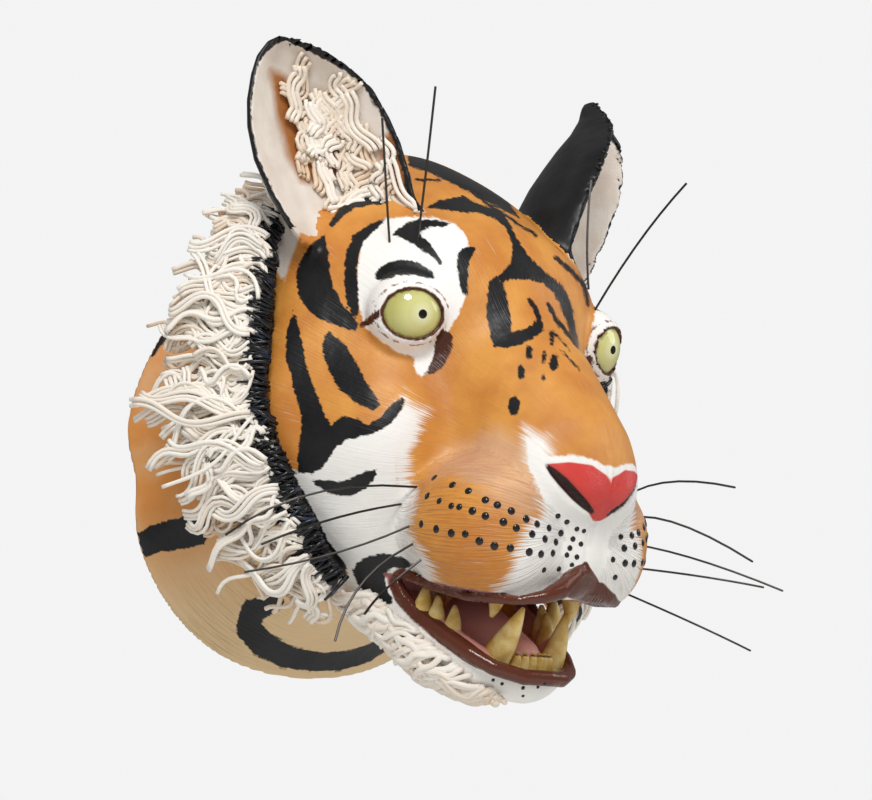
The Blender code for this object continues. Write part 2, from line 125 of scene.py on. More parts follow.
def add(tree, kind, inputs=(), **settings):
    """A shader node with its settings. Its inputs, by name or in order, are linked or set."""
    node = tree.nodes.new("ShaderNode" + kind)
    for name, value in settings.items():
        setattr(node, name, value)
    inputs = inputs if isinstance(inputs, dict) else dict(enumerate(inputs))
    for name, value in inputs.items():
        if isinstance(value, bpy.types.NodeSocket):
            tree.links.new(value, node.inputs[name])
        else:
            node.inputs[name].default_value = value
    return node


def new_material(name):
    """A material with only its Principled shader. Returns the material, its tree and the shader."""
    material = bpy.data.materials.new(name)
    material.use_nodes = True
    return material, material.node_tree, material.node_tree.nodes["Principled BSDF"]


world = bpy.data.worlds.new("pale studio")
SCENE.world = world
world.use_nodes = True
background = world.node_tree.nodes["Background"]
background.inputs["Color"].default_value = (PALE, PALE, PALE, 1.0)
rays = add(world.node_tree, "LightPath").outputs
strength = add(world.node_tree, "MapRange", {
    "Value": rays["Is Glossy Ray"], "To Min": ROOM_LIGHT, "To Max": ROOM_SHINE,
})
strength = add(world.node_tree, "MapRange", {
    "Value": rays["Is Camera Ray"], "To Min": strength.outputs["Result"], "To Max": 1.0,
})
world.node_tree.links.new(strength.outputs["Result"], background.inputs["Strength"])
SCENE.view_settings.view_transform = "Standard"


def soft_light(name, place, size, watts):
    """A round soft light that faces the middle of the head."""
    data = bpy.data.lights.new(name, "AREA")
    data.shape = "DISK"
    data.size = size * MM
    data.energy = watts
    light = bpy.data.objects.new(name, data)
    SCENE.collection.objects.link(light)
    back = np.array(place) - LIT_MIDDLE
    back /= np.linalg.norm(back)
    side = np.cross((0.0, 0.0, 1.0), back)
    side /= np.linalg.norm(side)
    face(light, side, np.cross(back, side), back, place)


soft_light("key light", (-900.0, -1250.0, 1150.0), 620.0, 18.0)
soft_light("fill light", (1300.0, -900.0, 700.0), 900.0, 6.0)

floor_mesh = bpy.data.meshes.new("floor")
half_floor = FLOOR_SIZE * MM / 2
floor_mesh.from_pydata(
    [
        (x * half_floor, y * half_floor, -FLOOR_DROP * MM)
        for x, y in ((-1, -1), (1, -1), (1, 1), (-1, 1))
    ],
    [], [(0, 1, 2, 3)],
)
floor = bpy.data.objects.new("floor", floor_mesh)
SCENE.collection.objects.link(floor)
floor_material, _, floor_shader = new_material("pale floor")
floor_shader.inputs["Base Color"].default_value = linear("#E6E6E4")
floor_shader.inputs["Roughness"].default_value = 0.8
floor_mesh.materials.append(floor_material)

# The clay of the head
# Stoneware slabs and lumps, joined wet and smoothed by hand, and fired as one hollow piece. One
# field of soft lumps describes it, negative inside the clay, and a fine mesh follows its surface.
SLAB = 9.0
FINE_CELL = 2.4
COARSE_CELL = 3.6
RIM_CELL = 1.4
FACE_ENDS_AT = -140.0
RIM_STARTS_AT = -24.0
CLAY_LOW = np.array((-178.0, -334.0, -192.0))
CLAY_HIGH = np.array((188.0, 6.0, 276.0))
QUICK_CELLS = 1.0

SKULL_LUMPS = (
    ((0, -119, 66), (126, 99, 120), 0, 1),
    ((0, -92, 112), (84, 58, 91), 0, 30),
    ((0, -182, 80), (92, 58, 62), 0, 22),
    ((72, -126, -2), (74, 56, 96), 0, 26),
    ((60, -172, -14), (56, 52, 66), 0, 26),
    ((0, -150, -70), (98, 84, 62), 0, 26),
)
BRIDGE = ((0, -196, 52), (0, -232, 12), 51, 51)
BRIDGE_END = ((0, -232, 12), (0, -265, -32), 51, 51)
NOSE = ((0, -284, -44), (42, 32, 26), 20)
PAD = ((40, -244, -74), (46, 54, 46), 0)
BETWEEN_PADS = ((0, -277, -84), (24, 23, 34), 0)
UNDER_PAD = ((36, -262, -92), (34, 33, 30), 0)
RIM_RADIUS = 165.0
RIM_SAG = 8.0
RIM_WAVE = 2.0
RIM_DENT = 8.0
NECK_LENGTH = 128.0
NECK_WAIST = 120.0
FLARE_LENGTH = 62.0
SAG_AT = 240.0
DENT_AT = 194.0
DENT_HALF_WIDTH = 9.0
RIM_FLAT = 11.0
FLAT_AT = 157.0
FLAT_HALF_WIDTH = 26.0
RIM_WAVES = 5
MOUTH_CORNER = (62, -174, -102)
UPPER_JAW_ANGLE = 9.0
LOWER_JAW_ANGLE = 37.0
MOUTH_POCKET = ((0, -206, -124), (44, 56, 24), 20)
JAW_PATH = ((58, -164, -116), (50, -204, -144), (35, -234, -161), (0, -243, -166))
JAW_RADII = (15, 13, 12, 13)
JAW_FLOOR = ((0, -196, -152), (52, 56, 15), 24)
LOWER_LIP_PATH = (
    (64, -185, -104), (62, -193, -117), (57, -206, -130), (52, -226, -142),
    (45, -243, -153), (36, -255, -161), (18, -263, -166), (0, -266, -166),
)
UPPER_LIP_PATH = (
    (64, -186, -99), (65, -199, -104), (62, -218, -110), (58, -256, -119),
    (46, -288, -121), (32, -296, -118), (20, -297, -113), (0, -296, -98),
)
LOWER_LIP_RADII = (3.5, 4.8, 5.2, 5.2, 5.2, 5.0, 5.0, 5.0)
UPPER_LIP_RADII = (3.5, 3.0, 3.0, 2.8, 2.8, 4.2, 6.0, 3.0)
LEFT_LIP_SHIFT = (0.0, 13.0, 5.0)
LEFT_LIP_TUCKS_OVER = 16.0
LEFT_JAW_NARROWS = 1.35
LEFT_PAD_NARROWS = 1.09
MOUTH_ENDS_AT = -187.0
GUM_PATH = ((58, -188, -122), (51, -212, -136), (42, -234, -150), (30, -246, -158))
GUM_RADII = (7, 8, 8, 6)
TONGUE = ((0, -186, -134), (0, -236, -156), 25, 17)
RIGHT_EAR_ROWS = (
    ((90, -170, 108), 40), ((103, -168, 138), 50), ((111, -164, 162), 53), ((116, -160, 184), 52),
    ((120, -157, 202), 48), ((124, -154, 220), 41), ((130, -151, 233), 31), ((136, -148, 243), 18),
    ((140, -146, 249), 4),
)
LEFT_EAR_ROWS = (
    ((96, -165, 108), 44), ((107, -163, 138), 55), ((119, -162, 164), 61), ((131, -163, 190), 59),
    ((137, -162, 206), 53), ((142, -159, 222), 44), ((144, -156, 236), 32), ((142, -150, 248), 19),
    ((139, -144, 257), 10), ((139, -141, 264), 4),
)
RIGHT_EAR_FACING = (0.34, -0.94)
LEFT_EAR_FACING = (0.66, -0.75)
RIGHT_EAR_CUP = 38.0
LEFT_EAR_CUP = 54.0
EAR_SLAB = 7.0
RIGHT_EAR = (RIGHT_EAR_ROWS, RIGHT_EAR_FACING, RIGHT_EAR_CUP)
LEFT_EAR = (LEFT_EAR_ROWS, LEFT_EAR_FACING, LEFT_EAR_CUP)
EAR_ROOT = ((86, -106, 118), (44, 30, 46), 0)
EYE = np.array((77.0, -206.0, 64.0))
EYE_BALL = 24.0
EYELID = 2.6
EYE_OPENING = (19.0, 15.5)
EYE_OPENS_AT = (415, 314)
PUPIL_AT = (423, 314)
RUFF_LINE = np.array((
    (112, -104, 132), (128, -116, 110), (139, -134, 72), (142, -137, 38), (142, -138, 5),
    (138, -146, -22), (129, -153, -47), (118, -158, -68), (106, -162, -90), (94, -166, -106),
), float)
RUFF_BED = 10.0
RUFF_BED_SHIFT = (6.0, 8.0, 0.0)
NOSTRIL_AT = ((548, 467), (559, 479), (574, 496), (589, 510))
NOSTRIL_RADII = (1.5, 3.4, 3.8, 2.2)
PHILTRUM_AT = ((596, 523), (591, 545), (586, 566))
PHILTRUM_RADII = (1.6, 2.2, 1.6)
BRIDGE_BLEND = 26
NOSE_BLEND = 14
JAW_FLOOR_BLEND = 12
JAW_BLEND = 18
PAD_BLEND = 12
LID_BLEND = 5
GUM_BLEND = 5
LIP_BLEND = 2
EAR_ROOT_BLEND = 16
EAR_BLEND = 8
NECK_BLEND = 14
RUFF_BLEND = 6
LID_EDGE = 1.2
MOUTH_EDGE = 4
POCKET_EDGE = 5
NOSTRIL_EDGE = 2
PHILTRUM_EDGE = 3
HOLLOW_EDGE = 2
WALL_EDGE = 6
FIELD_REACH = 60.0
MIRROR = np.array((-1.0, 1.0, 1.0))


def unit(vector):
    """The vector, or each vector of many, made one long."""
    return vector / np.linalg.norm(vector, axis=-1, keepdims=True)


def smooth_union(a, b, blend):
    """Two fields as one, with the crease between them filled over about the blend's width."""
    h = np.clip(0.5 + 0.5 * (b - a) / blend, 0.0, 1.0)
    return b + (a - b) * h - blend * h * (1.0 - h)


def smooth_cut(a, cutter, blend):
    """A field less the cutter's inside, with the edge between them rounded."""
    return -smooth_union(-a, cutter, blend)


def lump(points, centre, radii, tilt=0.0):
    """An ellipsoid of clay that leans forward by tilt degrees."""
    local = points - np.array(centre, float)
    if tilt:
        c, s = math.cos(math.radians(tilt)), math.sin(math.radians(tilt))
        x, y, z = local.T
        local = np.stack([x, c * y + s * z, c * z - s * y], axis=1)
    radii = np.array(radii, float)
    near = np.linalg.norm(local / radii, axis=1)
    slope = np.linalg.norm(local / radii**2, axis=1)
    return near * (near - 1.0) / np.maximum(slope, 1e-6)


def roll(points, start, end, start_radius, end_radius):
    """A tapered roll of clay between two points."""
    start = np.array(start, float)
    run = np.array(end, float) - start
    along = np.clip((points - start) @ run / (run @ run), 0.0, 1.0)
    away = points - start - along[:, None] * run
    return np.linalg.norm(away, axis=1) - start_radius - (end_radius - start_radius) * along


def rolls(points, path, radii):
    """One roll through the points of a path. Points further off than the reach are left at it."""
    path = np.array(path, float)
    field = np.full(len(points), FIELD_REACH)
    low = path.min(axis=0) - FIELD_REACH
    high = path.max(axis=0) + FIELD_REACH
    near = ((points > low) & (points < high)).all(axis=1)
    close = points[near]
    best = np.full(len(close), FIELD_REACH)
    for i in range(len(path) - 1):
        best = np.minimum(best, roll(close, path[i], path[i + 1], radii[i], radii[i + 1]))
    field[near] = best
    return field


def folded_over(points):
    """Points, with those of the right half mirrored to where X is above zero."""
    return points * np.where(points[:, :1] < 0.0, MIRROR, 1.0)


def narrowed(points, share):
    """Points folded over, and those of the left half spread by a share, so that a form there is
    narrower by it."""
    return folded_over(points) * np.where(points[:, :1] > 0.0, (share, 1.0, 1.0), 1.0)


def between(at, knots, points):
    """The places between points, each of which belongs to a knot."""
    return np.stack([np.interp(at, knots, column) for column in points.T], axis=-1)


def skull(points):
    """The skull and the bridge of the nose, of the folded head."""
    field = None
    for centre, radii, tilt, blend in SKULL_LUMPS:
        one = lump(points, centre, radii, tilt)
        field = one if field is None else smooth_union(field, one, blend)
    bridge = np.minimum(roll(points, *BRIDGE), roll(points, *BRIDGE_END))
    return smooth_union(field, bridge, BRIDGE_BLEND)


def neck_field(points, inset):
    """The neck and its uneven flare to the rim, or what lies an inset inside its skin."""
    x, y, z = points.T
    angle = np.arctan2(z, x)
    wave = RIM_SAG * np.cos(angle - math.radians(SAG_AT)) + RIM_WAVE * np.sin(RIM_WAVES * angle)
    for deep, at, half_width in (
        (RIM_DENT, DENT_AT, DENT_HALF_WIDTH), (RIM_FLAT, FLAT_AT, FLAT_HALF_WIDTH),
    ):
        away = (angle - math.radians(at) + math.pi) % (2.0 * math.pi) - math.pi
        wave = wave - deep * np.exp(-(away / math.radians(half_width)) ** 2)
    wave = wave * np.clip(1.0 + y / FLARE_LENGTH, 0.0, 1.4)
    share = np.clip(-y / FLARE_LENGTH, -0.15, 1.0)
    radius = NECK_WAIST + (RIM_RADIUS - NECK_WAIST) * (1.0 - share) ** 2
    wall = np.hypot(x, z) - radius - wave + inset
    return np.maximum(0.8 * wall, -y - NECK_LENGTH)


def ear_frame(rows, facing):
    """The ear's rows as arrays, and the level directions out of its cup and across it."""
    middles = np.array([row[0] for row in rows], float)
    halves = np.array([row[1] for row in rows], float)
    out = np.array([*facing, 0.0]) / math.hypot(*facing)
    return middles, halves, out, np.array([-out[1], out[0], 0.0])


def ear_place(points, rows, facing, cup):
    """How far across the cup a point is, as a share of its half width, and how far out of it."""
    middles, halves, out, across = ear_frame(rows, facing)
    z = points[:, 2]
    middle = between(z, middles[:, 2], middles)
    half = np.interp(z, middles[:, 2], halves)
    share = (points - middle) @ across / half
    deep = cup * half / halves.max()
    depth = (points - middle) @ out + deep * (1.0 - np.clip(np.abs(share), 0.0, 1.2) ** 2)
    return share, depth, half, deep


def ear_field(points, rows, facing, cup):
    """A cupped slab with a rounded edge, that stands on the skull."""
    middles, halves, out, across = ear_frame(rows, facing)
    field = np.full(len(points), FIELD_REACH)
    near = points[:, 2] > middles[0, 2] - 50.0
    close = points[near]
    share, depth, half, deep = ear_place(close, rows, facing, cup)
    z = close[:, 2]
    widening = np.interp(z, middles[:, 2], np.gradient(halves, middles[:, 2]))
    share = np.abs(share)
    clipped = np.clip(share, 0.0, 1.2)
    steep = np.sqrt(1.0 + (2.0 * deep * clipped / half) ** 2 * (1.0 + (clipped * widening) ** 2))
    edge = 0.5 * EAR_SLAB
    past = (share - 1.0) * half / np.sqrt(1.0 + widening**2)
    past = np.maximum(past, np.maximum(middles[0, 2] - z, z - middles[-1, 2]))
    field[near] = np.hypot(np.maximum(past + edge, 0.0), np.abs(depth) / steep) - edge
    return field


def mouth_field(points):
    """The gap between the jaws, open in front and at both sides."""
    x, y, z = points.T
    forward = MOUTH_CORNER[1] - y
    down = MOUTH_CORNER[2] - z
    upper = math.radians(UPPER_JAW_ANGLE)
    lower = math.radians(LOWER_JAW_ANGLE)
    below_upper = down * math.cos(upper) - forward * math.sin(upper)
    above_lower = forward * math.sin(lower) - down * math.cos(lower)
    return np.maximum(-np.minimum(below_upper, above_lower), y - MOUTH_ENDS_AT)


def hit_ball(pixel, centre, radius):
    """The direction from a ball's middle to where the camera sees it at a pixel."""
    ray = rays_of(pixel)[0]
    start = CAMERA_PLACE - centre
    along = start @ ray
    distance = -along - math.sqrt(along**2 - start @ start + radius**2)
    return unit(start + distance * ray)


EYE_AXIS = hit_ball(EYE_OPENS_AT, EYE * MIRROR, EYE_BALL) * MIRROR
PUPIL_AXIS = hit_ball(PUPIL_AT, EYE * MIRROR, EYE_BALL) * MIRROR
EYE_ACROSS = unit(np.cross((0.0, 0.0, 1.0), EYE_AXIS))
EYE_UPWARD = np.cross(EYE_AXIS, EYE_ACROSS)


def eye_opening(points):
    """How far outside the eyelids' opening a point is."""
    from_eye = points - EYE
    wide = from_eye @ EYE_ACROSS / EYE_OPENING[0]
    high = from_eye @ EYE_UPWARD / EYE_OPENING[1]
    return (np.hypot(wide, high) - 1.0) * EYE_OPENING[1]


def upper_lip(points):
    """The roll along the upper jaw. Left of the middle it is tucked in under the muzzle."""
    tucked = np.clip(points[:, :1] / LEFT_LIP_TUCKS_OVER, 0.0, 1.0) * np.array(LEFT_LIP_SHIFT)
    return rolls(folded_over(points) - tucked, UPPER_LIP_PATH, UPPER_LIP_RADII)


def ruff_bed(points):
    """The rounded bed of clay that the strands of the ruff are pressed into."""
    return rolls(points, RUFF_LINE + RUFF_BED_SHIFT, [RUFF_BED] * len(RUFF_LINE))


def solid_field(points):
    """The head's outer surface, without eye balls, teeth and strands. Returns its field, the skull's,
    and that of the mouth's hollow."""
    folded = folded_over(points)
    head = skull(folded)
    field = smooth_union(head, lump(folded, *NOSE), NOSE_BLEND)
    by_jaw = narrowed(points, LEFT_JAW_NARROWS)
    jaw = rolls(by_jaw, JAW_PATH, JAW_RADII)
    jaw = smooth_union(jaw, lump(by_jaw, *JAW_FLOOR), JAW_FLOOR_BLEND)
    field = smooth_union(field, jaw, JAW_BLEND)
    by_pad = narrowed(points, LEFT_PAD_NARROWS)
    pads = smooth_union(lump(by_pad, *PAD), lump(by_pad, *UNDER_PAD), PAD_BLEND)
    pads = smooth_union(pads, lump(folded, *BETWEEN_PADS), PAD_BLEND)
    field = smooth_union(field, pads, PAD_BLEND)
    lids = np.linalg.norm(folded - EYE, axis=1) - EYE_BALL - EYELID
    field = smooth_union(field, lids, LID_BLEND)
    through_lids = np.maximum(eye_opening(folded), -(folded - EYE) @ EYE_AXIS)
    field = smooth_cut(field, through_lids, LID_EDGE)
    mouth = mouth_field(folded)
    pocket = lump(folded, *MOUTH_POCKET)
    field = smooth_cut(field, mouth, MOUTH_EDGE)
    field = smooth_cut(field, pocket, POCKET_EDGE)
    field = smooth_union(field, roll(by_jaw, *TONGUE), GUM_BLEND)
    field = smooth_union(field, rolls(by_jaw, GUM_PATH, GUM_RADII), GUM_BLEND)
    field = smooth_union(field, rolls(by_jaw, LOWER_LIP_PATH, LOWER_LIP_RADII), LIP_BLEND)
    field = smooth_union(field, upper_lip(points), LIP_BLEND)
    field = smooth_union(field, lump(folded, *EAR_ROOT), EAR_ROOT_BLEND)
    right = points[:, 0] < 0.0
    ears = np.empty(len(points))
    ears[right] = ear_field(folded[right], *RIGHT_EAR)
    ears[~right] = ear_field(folded[~right], *LEFT_EAR)
    field = smooth_union(field, ears, EAR_BLEND)
    field = smooth_union(field, neck_field(points, 0.0), NECK_BLEND)
    field = smooth_union(field, ruff_bed(folded), RUFF_BLEND)
    return field, head, np.minimum(mouth, pocket)


def cast(pixels):
    """Where the camera's rays through pixels meet the head's outer surface, mirrored. They start
    short of the head, and take careful steps, because the soft unions bend the field."""
    rays = rays_of(pixels)
    along = np.full(len(rays), 1000.0)
    for _ in range(70):
        along += 0.7 * np.clip(solid_field(CAMERA_PLACE + along[:, None] * rays)[0], -20.0, 60.0)
    return (CAMERA_PLACE + along[:, None] * rays) * MIRROR


NOSTRIL = cast(NOSTRIL_AT)
PHILTRUM = cast(PHILTRUM_AT) * (0.0, 1.0, 1.0)


def hollow_field(points, head, mouth):
    """The empty inside of the head and the neck, one slab under the skin and behind the mouth."""
    hollow = smooth_union(head + SLAB, neck_field(points, SLAB), NECK_BLEND)
    return np.maximum(hollow, SLAB - mouth)


def clay_field(points):
    """The whole head, with its grooves, its hollow and its flat cut at the wall."""
    field, head, mouth = solid_field(points)
    folded = folded_over(points)
    field = smooth_cut(field, rolls(folded, NOSTRIL, NOSTRIL_RADII), NOSTRIL_EDGE)
    field = smooth_cut(field, rolls(folded, PHILTRUM, PHILTRUM_RADII), PHILTRUM_EDGE)
    field = smooth_cut(field, hollow_field(points, head, mouth), HOLLOW_EDGE)
    return smooth_cut(field, -points[:, 1], WALL_EDGE)


def field_on_lattice(field, axes):
    """The field at every node: exact near the surface, and the nearest coarser node's elsewhere."""
    counts = tuple(len(axis) for axis in axes)
    values = np.zeros(counts)
    spread = None
    step = 8
    while step >= 1:
        lattice = tuple(slice(None, None, step) for _ in range(3))
        view = values[lattice]
        places = [axis[::step] for axis in axes]
        gap = np.array([np.diff(axis).max() * step for axis in axes])
        if spread is None:
            near = np.ones(view.shape, bool)
        else:
            pick = [np.minimum((np.arange(n) + 1) // 2, m - 1) for n, m in zip(view.shape, spread.shape)]
            view[...] = spread[np.ix_(*pick)]
            near = np.abs(view) < 4.0 * np.linalg.norm(gap)
        at = np.nonzero(near)
        points = np.stack([places[i][at[i]] for i in range(3)], axis=1)
        view[at] = field(points)
        spread = view.copy()
        step //= 2
    return values


def surface_net(field, axes):
    """Vertices and quads of the surface where the field is zero: one vertex in each cell that it
    crosses, and one quad round each edge that it crosses."""
    values = field_on_lattice(field, axes)
    inside = values < 0.0
    counts = inside.shape
    cells = np.zeros([n - 1 for n in counts], np.int8)
    for corner in range(8):
        dx, dy, dz = corner & 1, (corner >> 1) & 1, corner >> 2
        cells += inside[dx:counts[0] - 1 + dx, dy:counts[1] - 1 + dy, dz:counts[2] - 1 + dz]
    mixed = (cells > 0) & (cells < 8)
    number = np.full(cells.shape, -1)
    number[mixed] = np.arange(mixed.sum())
    total = np.zeros((mixed.sum(), 3))
    hits = np.zeros(mixed.sum())
    quads = []
    for axis in range(3):
        second, third = (axis + 1) % 3, (axis + 2) % 3
        low_part = [slice(1, -1)] * 3
        low_part[axis] = slice(0, -1)
        high_part = list(low_part)
        high_part[axis] = slice(1, None)
        low_in = inside[tuple(low_part)]
        crossed = np.nonzero(low_in != inside[tuple(high_part)])
        start = [at + (i != axis) for i, at in enumerate(crossed)]
        end = list(start)
        end[axis] = start[axis] + 1
        va = values[tuple(start)]
        share = va / (va - values[tuple(end)])
        place = np.stack([axes[i][start[i]] for i in range(3)], axis=1)
        place[:, axis] += share * (axes[axis][end[axis]] - axes[axis][start[axis]])
        ring = []
        for step_two, step_three in ((0, 0), (-1, 0), (-1, -1), (0, -1)):
            cell = list(start)
            cell[second] = start[second] + step_two
            cell[third] = start[third] + step_three
            ids = number[tuple(cell)]
            ring.append(ids)
            np.add.at(total, ids, place)
            np.add.at(hits, ids, 1.0)
        ring = np.stack(ring, axis=1)
        outward = inside[tuple(start)]
        ring[~outward] = ring[~outward][:, ::-1]
        quads.append(ring)
    return total / hits[:, None], np.concatenate(quads)


def slope_of(field, points, step=0.4):
    """The field's value and slope at points."""
    values = field(points)
    slope = np.empty_like(points)
    for i in range(3):
        moved = points.copy()
        moved[:, i] += step
        slope[:, i] = (field(moved) - values) / step
    return values, slope


def onto_surface(field, points, most=1.2):
    """Points moved onto the surface where the field is zero, each by at most a little."""
    for _ in range(2):
        values, slope = slope_of(field, points)
        move = -values[:, None] * slope / np.maximum((slope**2).sum(axis=1), 0.05)[:, None]
        size = np.linalg.norm(move, axis=1, keepdims=True)
        points = points + move * np.minimum(1.0, most / np.maximum(size, 1e-9))
    return points


def mesh_piece(name, vertices, faces, material):
    """A smooth-shaded piece from vertices in millimetres and faces of one length."""
    mesh = bpy.data.meshes.new(name)
    corners = faces.shape[1]
    mesh.vertices.add(len(vertices))
    mesh.vertices.foreach_set("co", (vertices * MM).astype(np.float32).ravel())
    mesh.loops.add(faces.size)
    mesh.loops.foreach_set("vertex_index", faces.astype(np.int32).ravel())
    mesh.polygons.add(len(faces))
    mesh.polygons.foreach_set("loop_start", np.arange(0, faces.size, corners, dtype=np.int32))
    mesh.update(calc_edges=True)
    mesh.shade_smooth()
    mesh.materials.append(material)
    piece = bpy.data.objects.new(name, mesh)
    SCENE.collection.objects.link(piece)
    return piece


def paint_on(piece, name, values):
    """A value for each vertex, which the piece's material reads by name."""
    attribute = piece.data.attributes.new(name, "FLOAT", "POINT")
    attribute.data.foreach_set("value", np.asarray(values, np.float32))


fine = FINE_CELL * QUICK_CELLS
coarse = COARSE_CELL * QUICK_CELLS
y_face = np.arange(CLAY_LOW[1], FACE_ENDS_AT, fine)
y_rim = np.arange(RIM_STARTS_AT, CLAY_HIGH[1] + RIM_CELL, RIM_CELL * QUICK_CELLS)
neck_steps = int(np.ceil((RIM_STARTS_AT - y_face[-1]) / coarse))
y_neck = np.linspace(y_face[-1], RIM_STARTS_AT, neck_steps + 1)[1:-1]
clay_axes = [
    np.arange(CLAY_LOW[0], CLAY_HIGH[0] + fine, fine),
    np.concatenate([y_face, y_neck, y_rim]),
    np.arange(CLAY_LOW[2], CLAY_HIGH[2] + fine, fine),
]
clay_points, clay_faces = surface_net(clay_field, clay_axes)
clay_points = onto_surface(clay_field, clay_points)
clay_normals = unit(slope_of(clay_field, clay_points)[1])

# Painter's marks
# Underglaze brushed on freehand before the firing. The marks are laid out as outlines and strokes
# in the camera's picture, in pixels, and thrown onto the clay from there. Those of the side are
# mirrored onto the other half; those of the forehead aren't symmetrical.
PIXEL = 0.65
MARK_REACH = 14.0
STROKE_REACH = 24.0
SIDE_LEAVES = (
    ((324.5, 234), (311, 244), (302.5, 256), (296.6, 272), (296.6, 285), (299.6, 298.5), (308.4, 310),
     (320, 319), (332, 323.5), (345, 328.6), (355.3, 331), (359, 325), (352.3, 316), (342, 303),
     (333.3, 287), (329.6, 269), (328.2, 251.6)),
    ((293, 310), (287, 329), (285.6, 345), (286.4, 363), (290.8, 375), (293.7, 391), (298, 402.6),
     (302.5, 420), (326, 420), (323, 410), (315.7, 392), (309.8, 376), (305.4, 358.6), (301, 336.6),
     (296.6, 319)),
    ((328, 331), (321.6, 344), (323.8, 358.6), (330.4, 373), (338.6, 389.4), (354, 401.5), (373, 411),
     (380.8, 405), (371.3, 389.4), (361, 372), (352.4, 355), (342, 341), (330.5, 332.6)),
    ((302, 417), (326, 417), (331, 425), (338, 419), (345, 416), (356, 418), (368, 425), (380, 417),
     (392, 404), (403, 397), (405, 403), (401, 411), (390, 424), (380, 431), (368, 435), (359, 437),
     (346, 440), (336, 447), (331, 456), (323, 467), (315, 473), (297, 473), (298, 455), (300, 436)),
    ((310, 479), (322, 480), (339, 482), (352, 478), (364, 472), (378, 469), (375, 478), (366, 488),
     (352, 496), (340, 496), (329, 494), (318, 487)),
    ((352, 571), (358, 562), (367, 557), (385, 553), (404, 558), (414, 565), (405, 569), (392, 568),
     (386, 572), (385, 580), (388, 592), (394, 606), (386, 604), (376, 599), (366, 594), (358, 585)),
    ((376, 279), (375, 273), (381, 267), (390, 262), (400, 260), (412, 261), (422, 264), (431, 270),
     (436, 277), (432, 279), (424, 277), (412, 275), (400, 275), (390, 278), (380, 281)),
    ((392, 235), (399, 228), (408, 222), (418, 219), (428, 219), (442, 221), (452, 223), (444, 227),
     (433, 227), (425, 229), (420, 232), (422, 236), (430, 243), (436, 252), (441, 260), (443, 266),
     (438, 263), (432, 257), (421, 249), (408, 241)),
    ((458, 252), (466, 246.5), (475, 247.5), (474, 253), (469.5, 262), (468, 274), (468, 286),
     (467, 298), (462.6, 295), (459, 283), (457, 269), (457.5, 258.6)),
)
SIDE_STROKES = (
    ((332, 225, 5), (340, 213, 8), (352, 205, 9), (368, 201, 9), (386, 201, 5)),
    ((383, 220, 4), (370, 229, 9), (359, 238, 12), (353, 252, 13), (351, 266, 13), (351, 281, 13),
     (352, 297, 13), (355, 313, 8)),
)
FOREHEAD_LEAVES = (
    ((425.6, 207.7), (436.8, 201), (462, 196), (482, 205), (502, 210), (509, 222), (519, 240),
     (528, 255), (545, 272), (561, 284), (569, 296), (573, 312), (576, 329), (580, 350), (571, 336),
     (566, 320.5), (559, 303), (552, 291), (542, 283), (528, 279.6), (511, 280), (502, 283),
     (489.3, 280), (500.5, 274), (510.8, 263.7), (512.5, 251.7), (511.7, 243), (505.7, 227.6),
     (493.6, 218), (476.4, 213), (450.5, 211)),
    ((407, 150), (425, 149), (447, 156), (470, 168), (493, 186), (510, 203), (520, 218), (500, 209),
     (480, 198), (455, 185), (430, 173), (409, 166)),
    ((489, 280), (499.6, 279), (504, 286), (508, 301.6), (511, 317), (511.7, 332.6), (523, 329),
     (533, 324), (535.8, 318.8), (534, 312), (528, 301.6), (527, 298), (530.6, 297), (536.7, 306.8),
     (541.8, 318.8), (543.5, 331), (533, 338), (521, 344.7), (507.4, 348), (493.6, 347), (490, 334),
     (486.7, 317), (487, 300), (488.4, 289.6)),
)
FOREHEAD_STROKES = (
    ((548, 304, 4), (557, 320.5, 5), (578, 346, 4)),
    ((529, 349, 7), (529, 356, 7)), ((521, 368, 7), (521, 376, 7)), ((514, 402, 11), (514, 410, 11)),
    ((552, 333, 5), (552, 343, 4)), ((544, 352, 4), (544, 362, 4)), ((554, 357, 7), (554, 367, 8)),
    ((543.5, 376, 4), (543.5, 379, 4)), ((555.6, 334, 2), (571, 351.5, 2)),
    ((561, 350, 2), (580, 370.5, 2)), ((463, 183, 3), (485, 202, 3), (537, 236, 3)),
    ((416, 180, 3), (440, 180, 3)), ((555.6, 257.7, 4), (571, 270.6, 5), (585, 286, 5), (588, 305, 4)),
    ((597, 303, 4), (597, 308, 4)),
)
WHITE_LEAVES = (
    ((382, 219), (404, 217), (433, 217), (453, 223), (464, 232), (469, 246), (468, 270), (466, 297),
     (459, 313), (451, 326), (445, 350), (430, 372), (421, 377), (415, 370), (414, 357), (398, 353),
     (382, 342), (366, 329), (360, 312), (357, 295), (357, 268), (361, 243), (369, 229)),
    ((290, 470), (315, 470), (323, 462), (331, 450), (346, 437), (368, 432), (385, 424), (396, 410),
     (398, 440), (396, 470), (398, 513), (402, 545), (415, 573), (420, 600), (420, 640), (440, 700),
     (400, 700), (340, 640), (315, 570), (300, 510)),
    ((526, 436), (534, 442), (545, 455), (560, 456), (575, 455), (592, 459), (607, 467), (622, 461),
     (640, 455), (650, 475), (622, 500),
     (612, 540), (612, 616), (548, 616), (549, 575), (550, 520), (540, 490), (528, 465)),
)
WHITE_STROKES = (
    ((445, 590, 5), (480, 598, 6), (520, 601, 7), (550, 592, 9), (584, 570, 9)),
)
